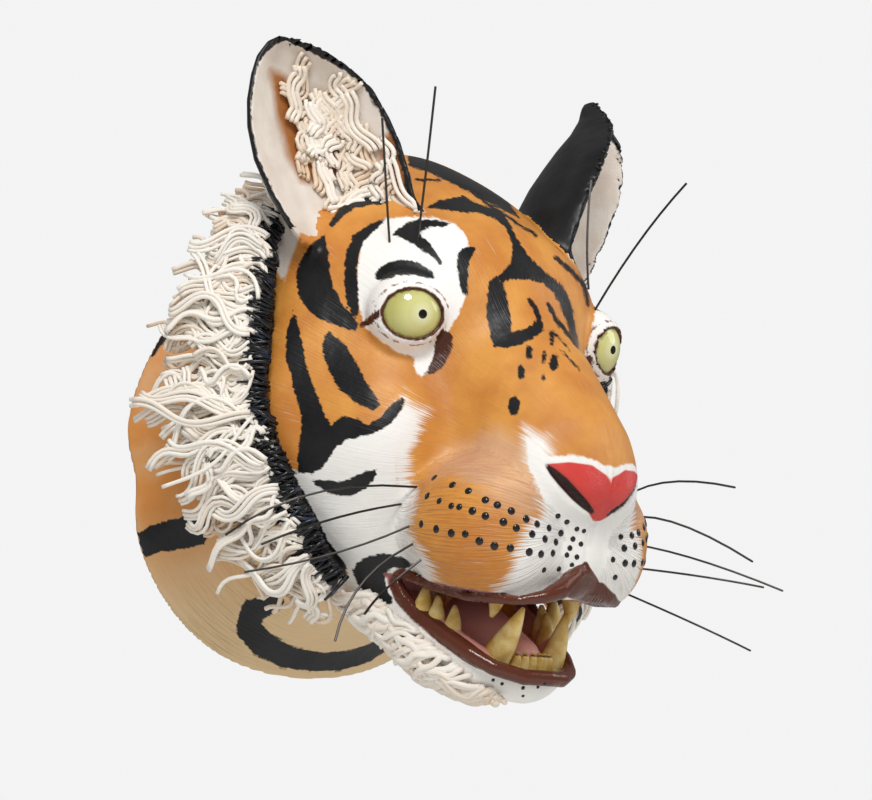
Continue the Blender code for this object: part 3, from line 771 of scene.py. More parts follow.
SOFT_WHITE_LEAVES = (
    ((385, 420), (404, 392), (424, 412), (414, 440), (410, 470), (414, 500), (410, 530), (424, 560),
     (440, 590), (420, 600), (395, 560), (390, 500), (390, 450)),
    ((524, 428), (545, 440), (560, 470), (600, 520), (612, 616), (560, 616), (520, 612), (480, 610),
     (447, 600), (440, 592), (480, 596), (502, 588), (514, 570), (517, 548), (526, 530), (544, 510),
     (540, 486), (524, 460)),
)
PALE_LEAVES = (
    ((428, 478), (440, 448), (500, 425), (535, 450), (550, 500), (530, 524), (490, 495), (450, 472)),
)
LEFT_BROW_LEAF = ((520, 190), (575, 235), (592, 270), (598, 296), (592, 330), (582, 362), (520, 380))
LINING_LEAVES = (
    ((255, 140), (262, 190), (272, 214), (288, 224), (302, 216), (330, 206), (366, 201), (386, 192),
     (380, 150), (330, 120)),
)
BARE_LEAVES = (
    ((262, 196), (288, 218), (302, 226), (298, 240), (290, 262), (284, 282), (270, 262), (258, 240)),
)
BETWEEN_PADS_LEAF = ((556, 516), (600, 522), (618, 540), (616, 616), (556, 616))
LIP_LOBE_LEAF = (
    (556, 593), (570, 584), (582, 569), (590, 567), (598, 579), (606, 604), (597, 609), (585, 602),
    (572, 599),
)
LEATHER = (
    ((546, 464), (570, 462), (592, 465), (609, 477), (612, 500), (596, 526), (588, 512), (570, 491)),
)
NOSTRIL_STROKE = (
    ((546, 465, 3), (553, 472, 8), (563, 482, 11), (575, 495, 11), (585, 505, 9), (592, 512, 5)),
)
TEARS = (
    ((436, 336), (442, 328), (450, 332), (453, 338), (451, 351), (445, 365), (437, 372), (423, 376),
     (428, 368), (433, 358), (435, 345)),
)
TEAR_STROKES = (
    ((361, 326, 4), (370, 321, 7), (379, 312, 5)),
)
NECK_LEAVES = (
    ((135, 535), (150, 526), (170, 520), (188, 515), (215, 520), (205, 544), (185, 549), (160, 552),
     (142, 558)),
    ((146, 354), (152, 338), (165, 325), (185, 317), (200, 319), (190, 330), (172, 336), (160, 347),
     (152, 358)),
)
NECK_STROKES = (
    ((274, 602, 20), (252, 611, 24), (249, 629, 26), (262, 644, 26), (285, 656, 24), (315, 662, 20),
     (345, 661, 16), (374, 652, 10)),
)
EAR_LEAVES = (
    ((270, 70), (285, 75), (300, 100), (325, 140), (350, 160), (352, 174), (325, 182), (300, 184),
     (290, 160), (281, 130), (273, 100)),
    ((381, 140), (398, 120), (410, 150), (418, 182), (400, 200), (385, 195), (378, 170)),
)
FACING_LEAST = 0.04
SIDE_MARKS_END_AT = 0.08
NECK_PAINT_STARTS_AT = -122.0
EAR_PAINT_STARTS_AT = 118.0
EAR_RIM_INNER = 2.2
EAR_RIM_OUTER = 4.5
EAR_TIP_STARTS_AT = 225.0
RUFF_TOP = 140.0
RUFF_FOOT = -104.0
CHIN_WHITE_BELOW = -124.0
CHIN_WHITE_BEFORE = -134.0
# The height above which the inside of the mouth gets painted shade.
SHADED_MOUTH_ABOVE = -124.0


def outside_leaf(pixels, outline):
    """How far outside a closed outline each place is: negative inside, and at most the reach."""
    outline = np.array(outline, float)
    distance = np.full(len(pixels), MARK_REACH)
    low = outline.min(axis=0) - MARK_REACH
    high = outline.max(axis=0) + MARK_REACH
    near = ((pixels > low) & (pixels < high)).all(axis=1)
    close = pixels[near]
    best = np.full(len(close), MARK_REACH)
    inside = np.zeros(len(close), bool)
    for start, end in zip(outline, np.roll(outline, -1, axis=0)):
        run = end - start
        along = np.clip((close - start) @ run / (run @ run), 0.0, 1.0)
        best = np.minimum(best, np.linalg.norm(close - start - along[:, None] * run, axis=1))
        if run[1]:
            passes = (start[1] > close[:, 1]) != (end[1] > close[:, 1])
            inside ^= passes & (close[:, 0] < start[0] + (close[:, 1] - start[1]) * run[0] / run[1])
    distance[near] = np.where(inside, -best, best)
    return distance


def outside_stroke(pixels, stroke):
    """The same for a brush stroke through places that each have a width."""
    stroke = np.array(stroke, float)
    distance = np.full(len(pixels), MARK_REACH)
    low = stroke[:, :2].min(axis=0) - STROKE_REACH
    high = stroke[:, :2].max(axis=0) + STROKE_REACH
    near = ((pixels > low) & (pixels < high)).all(axis=1)
    close = pixels[near]
    best = np.full(len(close), MARK_REACH)
    for start, end in zip(stroke[:-1], stroke[1:]):
        run = end[:2] - start[:2]
        along = np.clip((close - start[:2]) @ run / (run @ run), 0.0, 1.0)
        away = np.linalg.norm(close - start[:2] - along[:, None] * run, axis=1)
        best = np.minimum(best, away - 0.5 * (start[2] + (end[2] - start[2]) * along))
    distance[near] = best
    return distance


def marks(view, leaves=(), strokes=()):
    """How far outside all these marks the clay is, in millimetres, for a view's pixels and facing."""
    pixels, facing = view
    distance = np.full(len(pixels), MARK_REACH)
    for leaf in leaves:
        distance = np.minimum(distance, outside_leaf(pixels, leaf))
    for stroke in strokes:
        distance = np.minimum(distance, outside_stroke(pixels, stroke))
    return np.where(facing > FACING_LEAST, PIXEL * distance, MARK_REACH)


def view_of(points, normals):
    """The pixels of points, and how squarely they face the camera."""
    to_camera = unit(CAMERA_PLACE - points)
    return pixels_of(points), (to_camera * normals).sum(axis=1)


to_right = np.where(clay_points[:, :1] > 0.0, MIRROR, 1.0)
side_view = view_of(clay_points * to_right, clay_normals * to_right)
own_view = view_of(clay_points, clay_normals)
folded = folded_over(clay_points)
on_left = clay_points[:, 0] > 0.0
y_clay, z_clay = clay_points[:, 1], clay_points[:, 2]
in_hollow = hollow_field(clay_points, *solid_field(clay_points)[1:]) < 0.5 * SLAB
side_view[1][in_hollow] = -1.0
own_view[1][in_hollow] = -1.0

# Which part of the head each place of the clay belongs to
neck_paint = neck_field(clay_points, 0.0) - skull(folded)
neck_paint = np.maximum(neck_paint, NECK_PAINT_STARTS_AT - y_clay)
ear_paint = np.full(len(folded), MARK_REACH)
ear_out = np.zeros(len(folded))
ear_share = np.zeros(len(folded))
ear_half = np.ones(len(folded))
for half, ear in ((~on_left, RIGHT_EAR), (on_left, LEFT_EAR)):
    here = folded[half]
    ear_paint[half] = np.minimum(ear_field(here, *ear), MARK_REACH)
    ear_share[half], ear_out[half], ear_half[half], _ = ear_place(here, *ear)
ruff_y = np.interp(z_clay, RUFF_LINE[::-1, 2], RUFF_LINE[::-1, 1])
by_ruff = (z_clay < RUFF_TOP) & (z_clay > RUFF_FOOT)
behind_ruff = np.where(by_ruff, y_clay - ruff_y, -MARK_REACH)
on_ear = (ear_paint < 2.5) & (z_clay > EAR_PAINT_STARTS_AT)
off_face = np.maximum(behind_ruff - 2.0, np.where(on_ear, MARK_REACH, -MARK_REACH))
off_face = np.clip(np.maximum(off_face, -neck_paint), -MARK_REACH, MARK_REACH)

# The marks of each colour
black_side = marks(side_view, SIDE_LEAVES, SIDE_STROKES)
black_side[on_left & (own_view[1] > SIDE_MARKS_END_AT)] = MARK_REACH
black = np.minimum(black_side, marks(own_view, FOREHEAD_LEAVES, FOREHEAD_STROKES))
black = np.maximum(black, off_face)
black = np.minimum(black, np.maximum(ruff_bed(folded) - 6.0, y_clay - ruff_y - 9.0))
black = np.minimum(black, np.maximum(marks(side_view, NECK_LEAVES, NECK_STROKES), neck_paint))
ear_back = np.where(on_ear, np.clip(ear_out, -MARK_REACH, MARK_REACH), MARK_REACH)
rim_wide = np.where(ear_share > 0.0, EAR_RIM_INNER, EAR_RIM_OUTER)
rim_wide = rim_wide + np.clip(z_clay - EAR_TIP_STARTS_AT, 0.0, 20.0) * 0.25
ear_rim = (1.0 - np.abs(ear_share)) * ear_half - rim_wide
ear_back = np.minimum(ear_back, np.where(on_ear, ear_rim, MARK_REACH))
white = marks(side_view, WHITE_LEAVES, WHITE_STROKES)
white = np.minimum(white, np.maximum(z_clay - CHIN_WHITE_BELOW, y_clay - CHIN_WHITE_BEFORE))
between_pads = PIXEL * outside_leaf(own_view[0], BETWEEN_PADS_LEAF)
white = np.minimum(white, np.where(on_left & (own_view[1] > 0.0), between_pads, MARK_REACH))
left_brow = -PIXEL * outside_leaf(own_view[0], LEFT_BROW_LEAF)
left_brow = np.where(on_left & (own_view[1] > 0.0), left_brow, -MARK_REACH)
white = np.maximum(np.maximum(white, off_face), left_brow)
soft_white = np.maximum(marks(side_view, SOFT_WHITE_LEAVES), off_face)
pale = np.maximum(marks(side_view, PALE_LEAVES), off_face)
lining = np.where(on_ear & (ear_out > 0.0), -MARK_REACH, MARK_REACH)
by_ear = np.minimum(ear_paint, 9.0) - 8.0
lining = np.minimum(lining, np.maximum(marks(side_view, LINING_LEAVES), by_ear))
lining = np.minimum(lining, marks(side_view, BARE_LEAVES))
ear_brown = np.maximum(marks(side_view, EAR_LEAVES), np.where(on_ear, -9.0, 9.0))
by_jaw = narrowed(clay_points, LEFT_JAW_NARROWS)
lips = rolls(by_jaw, LOWER_LIP_PATH, LOWER_LIP_RADII) - 0.9
lips = np.minimum(lips, upper_lip(clay_points) - 1.5)
lip_lobe = PIXEL * outside_leaf(own_view[0], LIP_LOBE_LEAF)
lips = np.minimum(lips, np.where(own_view[1] > 0.0, lip_lobe, MARK_REACH))
mouth = np.minimum(mouth_field(folded), lump(folded, *MOUTH_POCKET)) - 1.6
mouth = np.minimum(mouth, roll(by_jaw, *TONGUE) - 2.0)
gums = np.maximum(rolls(by_jaw, GUM_PATH, GUM_RADII) - 1.0, mouth_field(folded) - 3.0)
mouth = np.minimum(mouth, gums)
mouth = np.maximum(mouth, y_clay - MOUTH_ENDS_AT - 2.0)
# Nothing is painted on the wall of the hollow
for unseen in (black, white, lining, ear_back, lips, mouth):
    unseen[in_hollow] = MARK_REACH
# Painted shade: the mouth is darkened in its upper part, under the upper jaw.
throat = np.clip(SHADED_MOUTH_ABOVE - z_clay, -MARK_REACH, MARK_REACH)
throat = np.where(mouth < 0.0, throat, MARK_REACH)
from_eye = folded - EYE
by_eye = (np.linalg.norm(from_eye, axis=1) < EYE_BALL + 12.0) & (from_eye @ EYE_AXIS > 0.0)
lid_distance = np.where(by_eye, eye_opening(folded), MARK_REACH)
brown = marks(side_view, TEARS, TEAR_STROKES)
leather = marks(side_view, LEATHER)
nostril = marks(side_view, (), NOSTRIL_STROKE)

# The directions of the comb that scored the clay: across its lines, and along them. On the head it
# runs back from the nose, on the muzzle round each pad, and on the neck round the flare.
HEAD_ROUND = 105.0
PAD_ROUND = 48.0
NECK_ROUND = 140.0
PAD_COMB_MIDDLE = (34.0, -244.0, -74.0)
RIPPLES_AT = -143.0
RIPPLES_WIDE = 30.0
pole = unit(np.array((0.0, 0.93, 0.37)))
from_nose = folded - np.array(NOSE[0])
turn = np.arctan2(from_nose[:, 0], from_nose @ unit(np.cross(pole, (1.0, 0.0, 0.0))))
head_across = turn * HEAD_ROUND
head_along = from_nose @ pole
pad_axis = unit(np.array((-0.42, -0.90, -0.06)))
pad_out = unit(np.cross(pad_axis, (0.0, 0.0, -1.0)))
from_pad = folded - np.array(PAD_COMB_MIDDLE)
pad_turn = np.arctan2(from_pad @ np.cross(pad_axis, pad_out), from_pad @ pad_out)
pad_across = pad_turn * PAD_ROUND
pad_along = from_pad @ pad_axis
on_pad = np.minimum(lump(folded, *PAD), lump(folded, *UNDER_PAD)) - 5.0
neck_across = 0.62 * np.hypot(clay_points[:, 0], z_clay) + 0.9 * y_clay
neck_along = np.arctan2(z_clay, -clay_points[:, 0]) * NECK_ROUND
ripples = np.exp(-(((neck_along - RIPPLES_AT) / RIPPLES_WIDE) ** 2))
comb_depth = np.where(neck_paint < 0.0, 0.08 + 0.6 * ripples, np.where(on_pad < 0.0, 0.8, 0.16))
comb_depth = np.where(on_ear, 0.1, comb_depth)

# The glazed paint
# Orange body colour, mottled where the brush left it thin and scored by the comb, under white,
# black, brown and coral marks with brushy edges. A thin clear glaze makes it satin, and thick
# brown on the lips, nose and eyelids fires glossy.
# The noises are so many to the metre: brushy grain of about 4 mm, patches of thin glaze of about
# 30 mm, and a surface uneven over about 11 mm. Each comb has the distance between its lines and
# their length, in millimetres.
GRAIN_PER_METRE = 260.0
PATCHES_PER_METRE = 34.0
UNEVEN_PER_METRE = 90.0
UNEVEN_HEIGHT = 0.0010
COMB_HEIGHT = 0.0020
HEAD_COMB = (0.9, 26.0)
PAD_COMB = (1.2, 30.0)
NECK_COMB = (1.6, 34.0)
clay_values = {
    "neck": neck_paint, "lining": lining, "ear_brown": ear_brown, "white": white,
    "leather": leather, "black": black, "ear_back": ear_back, "mouth": mouth, "throat": throat,
    "brown": brown, "nostril": nostril, "lips": lips, "soft_white": soft_white, "pale": pale,
    # "rim" marks where a painted shadow runs along the neck's edge at the wall.
    "lid": lid_distance, "pad": on_pad, "rim": -1.0 - y_clay, "comb_depth": comb_depth,
    "head_across": head_across, "head_along": head_along, "pad_across": pad_across,
    "pad_along": pad_along, "neck_across": neck_across, "neck_along": neck_along,
}
clay_glaze, tree, shader = new_material("painted stoneware")
object_place = add(tree, "TexCoord").outputs["Object"]
read = {name: add(tree, "Attribute", attribute_name=name).outputs["Fac"] for name in clay_values}


def combed(part, apart, long):
    """The comb's lines in one part of the head, so far apart and so long, in millimetres."""
    across = add(tree, "Math", (read[part + "_across"], 1 / apart), operation="MULTIPLY").outputs[0]
    along = add(tree, "Math", (read[part + "_along"], 1 / long), operation="MULTIPLY").outputs[0]
    place = add(tree, "CombineXYZ", (across, along)).outputs[0]
    return add(tree, "TexNoise", {"Vector": place, "Scale": 1.0, "Detail": 2.0}).outputs[0]


pad_share = add(tree, "MapRange", (read["pad"], -2.5, 2.5, 1.0, 0.0)).outputs[0]
neck_share = add(tree, "MapRange", (read["neck"], -1.0, 1.0, 1.0, 0.0)).outputs[0]
head_or_pad = (pad_share, combed("head", *HEAD_COMB), combed("pad", *PAD_COMB))
comb = add(tree, "MixRGB", head_or_pad).outputs[0]
comb = add(tree, "MixRGB", (neck_share, comb, combed("neck", *NECK_COMB))).outputs[0]
depth = read["comb_depth"]
wander = add(tree, "TexNoise", {
    "Vector": object_place, "Scale": GRAIN_PER_METRE, "Detail": 3.0,
}).outputs[0]
mottle = add(tree, "TexNoise", {
    "Vector": object_place, "Scale": PATCHES_PER_METRE, "Detail": 5.0,
}).outputs[0]
thin = add(tree, "MapRange", (mottle, 0.35, 0.65, 0.0, 1.0)).outputs[0]
rough_edge = add(tree, "Math", (
    add(tree, "MapRange", (wander, 0.25, 0.75, -0.8, 0.8)).outputs[0],
    add(tree, "MapRange", (comb, 0.3, 0.7, -0.5, 0.5)).outputs[0],
), operation="ADD").outputs[0]
dry_brush = add(tree, "Math", (
    add(tree, "MapRange", (comb, 0.3, 0.7, -5.0, 5.0)).outputs[0],
    add(tree, "MapRange", (mottle, 0.3, 0.7, -3.0, 3.0)).outputs[0],
), operation="ADD").outputs[0]
scored = add(tree, "MapRange", (comb, 0.25, 0.55, 0.9, 0.0)).outputs[0]
scored = add(tree, "Math", (scored, depth), operation="MULTIPLY").outputs[0]

colour = add(tree, "MixRGB", (thin, linear("#C97F33"), linear("#DE9A46"))).outputs[0]
colour = add(tree, "MixRGB", (scored, colour, linear("#B06A2A"))).outputs[0]
rough, shine = 0.42, 0.4


def painted(mark, paint, paint_rough, paint_shine, edge=0.5, brush=None, most=1.0):
    """Paint inside a mark over what is there, in a colour that is written out or mixed."""
    global colour, rough, shine
    if brush is not None:
        mark = add(tree, "Math", (mark, brush), operation="ADD").outputs[0]
    cover = add(tree, "MapRange", (mark, -edge, edge, most, 0.0)).outputs[0]
    paint = linear(paint) if isinstance(paint, str) else paint
    colour = add(tree, "MixRGB", (cover, colour, paint)).outputs[0]
    rough = add(tree, "MapRange", (cover, 0.0, 1.0, rough, paint_rough)).outputs[0]
    shine = add(tree, "MapRange", (cover, 0.0, 1.0, shine, paint_shine)).outputs[0]


height = add(tree, "SeparateXYZ", (object_place,)).outputs[2]
low_neck = add(tree, "MapRange", (height, -0.125, -0.055, 0.0, 1.0)).outputs[0]
neck_colour = add(tree, "MixRGB", (low_neck, linear("#DDC094"), linear("#CF8A44"))).outputs[0]
neck_thin = add(tree, "MapRange", (mottle, 0.4, 0.8, 0.0, 0.6)).outputs[0]
neck_colour = add(tree, "MixRGB", (neck_thin, neck_colour, linear("#DDC096"))).outputs[0]
neck_colour = add(tree, "MixRGB", (scored, neck_colour, linear("#A88C60"))).outputs[0]
pale_white = add(tree, "MixRGB", (scored, linear("#F6F3EE"), linear("#DDD3C6"))).outputs[0]
lining_colour = add(tree, "MixRGB", (thin, linear("#DACDC0"), linear("#EAE2D8"))).outputs[0]
ink = add(tree, "MixRGB", (thin, linear("#161618"), linear("#232325"))).outputs[0]
painted(read["neck"], neck_colour, 0.5, 0.3)
painted(read["pale"], pale_white, 0.42, 0.4, 6.0, dry_brush, 0.2)
painted(read["soft_white"], pale_white, 0.42, 0.4, 3.0, dry_brush)
painted(read["lining"], lining_colour, 0.42, 0.4, 1.0)
ear_edge = add(tree, "MapRange", (mottle, 0.3, 0.7, -2.0, 2.0)).outputs[0]
painted(read["ear_brown"], "#A8641E", 0.35, 0.4, 3.0, ear_edge, 0.95)
painted(read["white"], pale_white, 0.42, 0.4, 0.7, rough_edge)
painted(read["leather"], "#D8433D", 0.30, 0.4)
painted(read["black"], ink, 0.36, 0.3, 0.5, rough_edge)
painted(read["ear_back"], ink, 0.36, 0.3, 0.6, rough_edge)
painted(read["mouth"], "#E6A69C", 0.30, 0.4, 0.6)
# Painted shade in the upper mouth, under the upper jaw.
painted(read["throat"], "#8E5250", 0.30, 0.4, 9.0, None, 0.85)
painted(read["brown"], "#4C2A1E", 0.25, 0.3, 0.5, rough_edge)
lid = read["lid"]
outer_ring = add(tree, "Math", (lid, -4.6), operation="ADD").outputs[0]
outer_ring = add(tree, "Math", (outer_ring,), operation="ABSOLUTE").outputs[0]
dotted = add(tree, "MapRange", (wander, 0.35, 0.65, -0.9, 1.1)).outputs[0]
outer_ring = add(tree, "Math", (outer_ring, dotted), operation="ADD").outputs[0]
painted(outer_ring, "#7A4A3A", 0.3, 0.3, 0.4, None, 0.85)
inner_ring = add(tree, "Math", (lid, -1.6), operation="ADD").outputs[0]
ring_edge = add(tree, "MapRange", (wander, 0.3, 0.7, -0.4, 0.4)).outputs[0]
painted(inner_ring, "#5A2F22", 0.25, 0.3, 0.4, ring_edge)
painted(read["nostril"], "#2C1510", 0.15, 0.4)
painted(read["lips"], "#5E3021", 0.14, 0.45, 0.4)
# Painted shadow: a thin dark brown line along the neck's edge where it meets the wall.
painted(read["rim"], "#7E6244", 0.5, 0.3, 0.8)
tree.links.new(colour, shader.inputs["Base Color"])
tree.links.new(rough, shader.inputs["Roughness"])
tree.links.new(shine, shader.inputs["Specular IOR Level"])
uneven = add(tree, "TexNoise", {
    "Vector": object_place, "Scale": UNEVEN_PER_METRE, "Detail": 2.0,
}).outputs[0]
uneven_bump = add(tree, "Bump", {
    "Height": uneven, "Distance": UNEVEN_HEIGHT, "Strength": 0.6,
}).outputs[0]
comb_height = add(tree, "Math", (comb, depth), operation="MULTIPLY").outputs[0]
comb_bump = add(tree, "Bump", {
    "Height": comb_height, "Distance": COMB_HEIGHT, "Strength": 0.9, "Normal": uneven_bump,
}).outputs[0]
tree.links.new(comb_bump, shader.inputs["Normal"])

head = mesh_piece("head_clay", clay_points, clay_faces, clay_glaze)
for name, values in clay_values.items():
    paint_on(head, name, values)
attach(head, "root")
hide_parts("tiger_head")

# Eye balls
# Balls of clay under thick yellow-green glaze, with a small black pupil and a paler ring round it.
# Each is a globe whose pole is the middle of the pupil.
eye_glaze, tree, shader = new_material("yellow-green eye glaze")
from_pupil = add(tree, "Attribute", attribute_name="from_pupil").outputs["Fac"]
iris = add(tree, "MapRange", (from_pupil, 3.0, 9.0)).outputs[0]
eye_colour = add(tree, "MixRGB", (iris, linear("#E4E3B4"), linear("#D2D08A"))).outputs[0]
outer = add(tree, "MapRange", (from_pupil, 11.0, 20.0)).outputs[0]
eye_colour = add(tree, "MixRGB", (outer, eye_colour, linear("#B9B56A"))).outputs[0]
pupil = add(tree, "MapRange", (from_pupil, 2.8, 3.2)).outputs[0]
eye_colour = add(tree, "MixRGB", (pupil, linear("#17140F"), eye_colour)).outputs[0]
tree.links.new(eye_colour, shader.inputs["Base Color"])
shader.inputs["Roughness"].default_value = 0.06

SPOKES = 48
rings = np.concatenate([np.linspace(0.0, 0.3, 13), np.linspace(0.36, 2.4, 30)])
spokes = np.linspace(0.0, 2.0 * math.pi, SPOKES + 1)[:-1]
for name, flip in (("right_eye", -1.0), ("left_eye", 1.0)):
    turn, fall = np.meshgrid(spokes, rings)
    round_pupil = np.cos(turn)[..., None] * EYE_ACROSS + np.sin(turn)[..., None] * EYE_UPWARD
    round_pupil = unit(round_pupil - (round_pupil @ PUPIL_AXIS)[..., None] * PUPIL_AXIS)
    ball = EYE + EYE_BALL * (
        np.cos(fall)[..., None] * PUPIL_AXIS + np.sin(fall)[..., None] * round_pupil
    )
    first = np.arange(len(rings) - 1)[:, None] * SPOKES
    corner = first + np.arange(SPOKES)
    after = first + (np.arange(SPOKES) + 1) % SPOKES
    ball_faces = np.stack([corner, corner + SPOKES, after + SPOKES, after], axis=-1).reshape(-1, 4)
    if flip < 0.0:
        ball_faces = ball_faces[:, ::-1]
    eye = mesh_piece(name, ball.reshape(-1, 3) * (flip, 1.0, 1.0), ball_faces, eye_glaze)
    paint_on(eye, "from_pupil", (fall * EYE_BALL).ravel())
    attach(eye, "root")


def tubes(name, paths, radii, material, sides=6, flat=1.0):
    """Many tapered rolls as one piece. Each has a path of points and a radius at each, and is
    pressed flat by a share, square to the upright."""
    paths = np.asarray(paths, float)
    count, steps = paths.shape[:2]
    forward = unit(np.gradient(paths, axis=1))
    thin_way = unit(np.cross(forward, (0.0, 0.0, 1.0)) + 1e-9)
    wide_way = np.cross(thin_way, forward)
    angle = 2.0 * math.pi * np.arange(sides) / sides
    offset = (
        flat * np.cos(angle)[:, None] * thin_way[:, :, None]
        + np.sin(angle)[:, None] * wide_way[:, :, None]
    )
    vertices = (paths[:, :, None] + radii[:, :, None, None] * offset).reshape(-1, 3)
    first = np.arange(count)[:, None, None] * steps * sides
    ring = first + np.arange(steps - 1)[None, :, None] * sides
    corner = ring + np.arange(sides)
    after = ring + (np.arange(sides) + 1) % sides
    walls = np.stack([corner, after, after + sides, corner + sides], axis=-1).reshape(-1, 4)
    fan = np.array([(0, k, k + 1, k + 2) for k in range(1, sides - 2, 2)])
    last = first[:, 0] + (steps - 1) * sides
    starts = (first[:, 0][:, :, None] + fan[None, :, ::-1]).reshape(-1, 4)
    ends = (last[:, :, None] + fan[None]).reshape(-1, 4)
    piece = mesh_piece(name, vertices, np.concatenate([walls, starts, ends]), material)
    flat_faces = np.zeros(len(piece.data.polygons), bool)
    flat_faces[len(walls):] = True
    sharp = piece.data.attributes.new("sharp_face", "BOOLEAN", "FACE")
    sharp.data.foreach_set("value", flat_faces)
    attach(piece, "root")
    return piece


def both_halves(paths):
    """The paths, and their mirror images."""
    paths = np.asarray(paths, float)
    return np.concatenate([paths * MIRROR, paths])


# Teeth
# Pointed rolls of clay pressed into the gums, and a row of small incisors, under yellow glaze.
# Each tooth curves a little backward.
JAWS_PART_AT = -124.0
TOOTH_PATCHES_PER_METRE = 120.0
TOOTH_BEND = (0.0, -5.0, 0.0)
TOOTH_TIP_RADIUS = 1.3
RIGHT_TOOTH = ((25, -240, -157), (28, -272, -124), 11.0)
LEFT_TOOTH = ((26, -244, -158), (29, -256, -124), 9.0)
TEETH = (
    ((31, -250, -113), (32, -246, -129), 6.5),
    ((46, -222, -144), (44, -224, -122), 7.5),
    ((51, -212, -137), (50, -214, -116), 7.5),
    ((55, -203, -128), (54, -206, -109), 7.0),
)
INCISORS = tuple(
    ((x, -251 + 0.12 * x, -160), (x, -254 + 0.12 * x, -150), 3.6) for x in (3, 9, 15)
)
tooth_glaze, tree, shader = new_material("yellow tooth glaze")
tooth_place = add(tree, "TexCoord").outputs["Object"]
tooth_mottle = add(tree, "TexNoise", {
    "Vector": tooth_place, "Scale": TOOTH_PATCHES_PER_METRE, "Detail": 4.0,
}).outputs[0]
tooth_thin = add(tree, "MapRange", (tooth_mottle, 0.35, 0.65)).outputs[0]
tooth_colour = add(tree, "MixRGB", (tooth_thin, linear("#C9A04A"), linear("#E6CB86"))).outputs[0]
tree.links.new(tooth_colour, shader.inputs["Base Color"])
shader.inputs["Roughness"].default_value = 0.25
t = np.linspace(0.0, 1.0, 9)
tooth_paths = []
tooth_radii = []
for root, tip, radius in (RIGHT_TOOTH, LEFT_TOOTH) + TEETH + INCISORS:
    root, tip = np.array(root, float), np.array(tip, float)
    tooth_paths.append(root + t[:, None] * (tip - root) + (t * (1 - t))[:, None] * TOOTH_BEND)
    tooth_radii.append(radius * (1.0 - t**1.6) * 0.78 + TOOTH_TIP_RADIUS)
right_teeth = np.array(tooth_paths[:1] + tooth_paths[2:]) * MIRROR
left_teeth = np.array(tooth_paths[1:])
in_lower_jaw = (left_teeth[:, :, 2] < JAWS_PART_AT).mean(axis=1, keepdims=True) > 0.4
left_teeth[..., 0] /= np.where(in_lower_jaw, LEFT_JAW_NARROWS, 1.0)
tooth_paths = np.concatenate([right_teeth, left_teeth])
tooth_radii = np.array(tooth_radii[:1] + tooth_radii[2:] + tooth_radii[1:])
tubes("teeth", tooth_paths, tooth_radii, tooth_glaze, sides=12)

# The ruff
# Clay pressed through a sieve into thin strands, in ribbons of up to three that stay joined, laid
# over each other along the edge of the face. White slip, with tan painted on lower layers as shade.
RUFF_REACHES = (46.0, 54.0, 74.0, 76.0, 48.0)
RUFF_RIBBONS = 275
STRAND_RADIUS = 1.4
STRAND_STEPS = 18
STRAND_SIDES = 6
RUFF_THICK = 13.0
RUFF_HEADINGS = (0.34, 1.3, 0.4)
RUFF_REACH_VARIES = (0.55, 1.15)
RUFF_TWIST = 1.2
strand_glaze, tree, shader = new_material("white slip on strands")
# The tan that the strands are tinted with is painted shade, for the crevices and lower layers.
painted_shade = add(tree, "Attribute", attribute_name="painted_shade").outputs["Fac"]
strand_colour = add(tree, "MixRGB", (painted_shade, linear("#F7F1E7"), linear("#D3A873"))).outputs[0]
tree.links.new(strand_colour, shader.inputs["Base Color"])
shader.inputs["Roughness"].default_value = 0.5
random = np.random.default_rng(7)
ruff_steps = np.linalg.norm(np.diff(RUFF_LINE, axis=0), axis=1)
ruff_along = np.concatenate([[0.0], np.cumsum(ruff_steps)]) / ruff_steps.sum()


def on_ruff(share):
    """The place on the ruff's line at a share of its length, and the line's direction there."""
    behind, place, ahead = between(share + np.array((-0.02, 0.0, 0.02)), ruff_along, RUFF_LINE)
    return place, unit(ahead - behind)


def out_of(line_way, way):
    """The direction square to the ruff's line and to a strand's way, out of the head."""
    away = unit(np.cross(line_way, way))
    return away if away[0] > 0.0 else -away


def strands(name, paths, radii, painted_shades, flat=1.0):
    """Strands as one piece, each tinted tan by its share of painted shade."""
    piece = tubes(name, paths, radii, strand_glaze, STRAND_SIDES, flat)
    shares = np.repeat(painted_shades, STRAND_STEPS * STRAND_SIDES)
    paint_on(piece, "painted_shade", np.clip(shares, 0.0, 1.0))


def strand_direction(share, lift, sway):
    """A strand's way back from the ruff's line: up at the ear, and down at the jaw."""
    fall = np.interp(share, (0.0, 0.25, 0.6, 1.0), (0.62, 0.20, -0.12, -0.34)) + sway
    return unit(np.array((0.46 + lift - 0.7 * max(share - 0.6, 0.0), 0.86 - lift, fall)))


def headings(start_spread, wave, curl):
    """A strand's headings along its length, as angles from its way, that wave and curl."""
    t = np.linspace(0.0, 1.0, STRAND_STEPS)
    cycles = random.uniform(0.7, 1.9)
    size = random.uniform(0.3, wave)
    waving = size * np.sin(random.uniform(0.0, 2.0 * math.pi) + 2.0 * math.pi * cycles * t)
    return random.normal(0.0, start_spread) + waving + random.normal(0.0, curl) * t


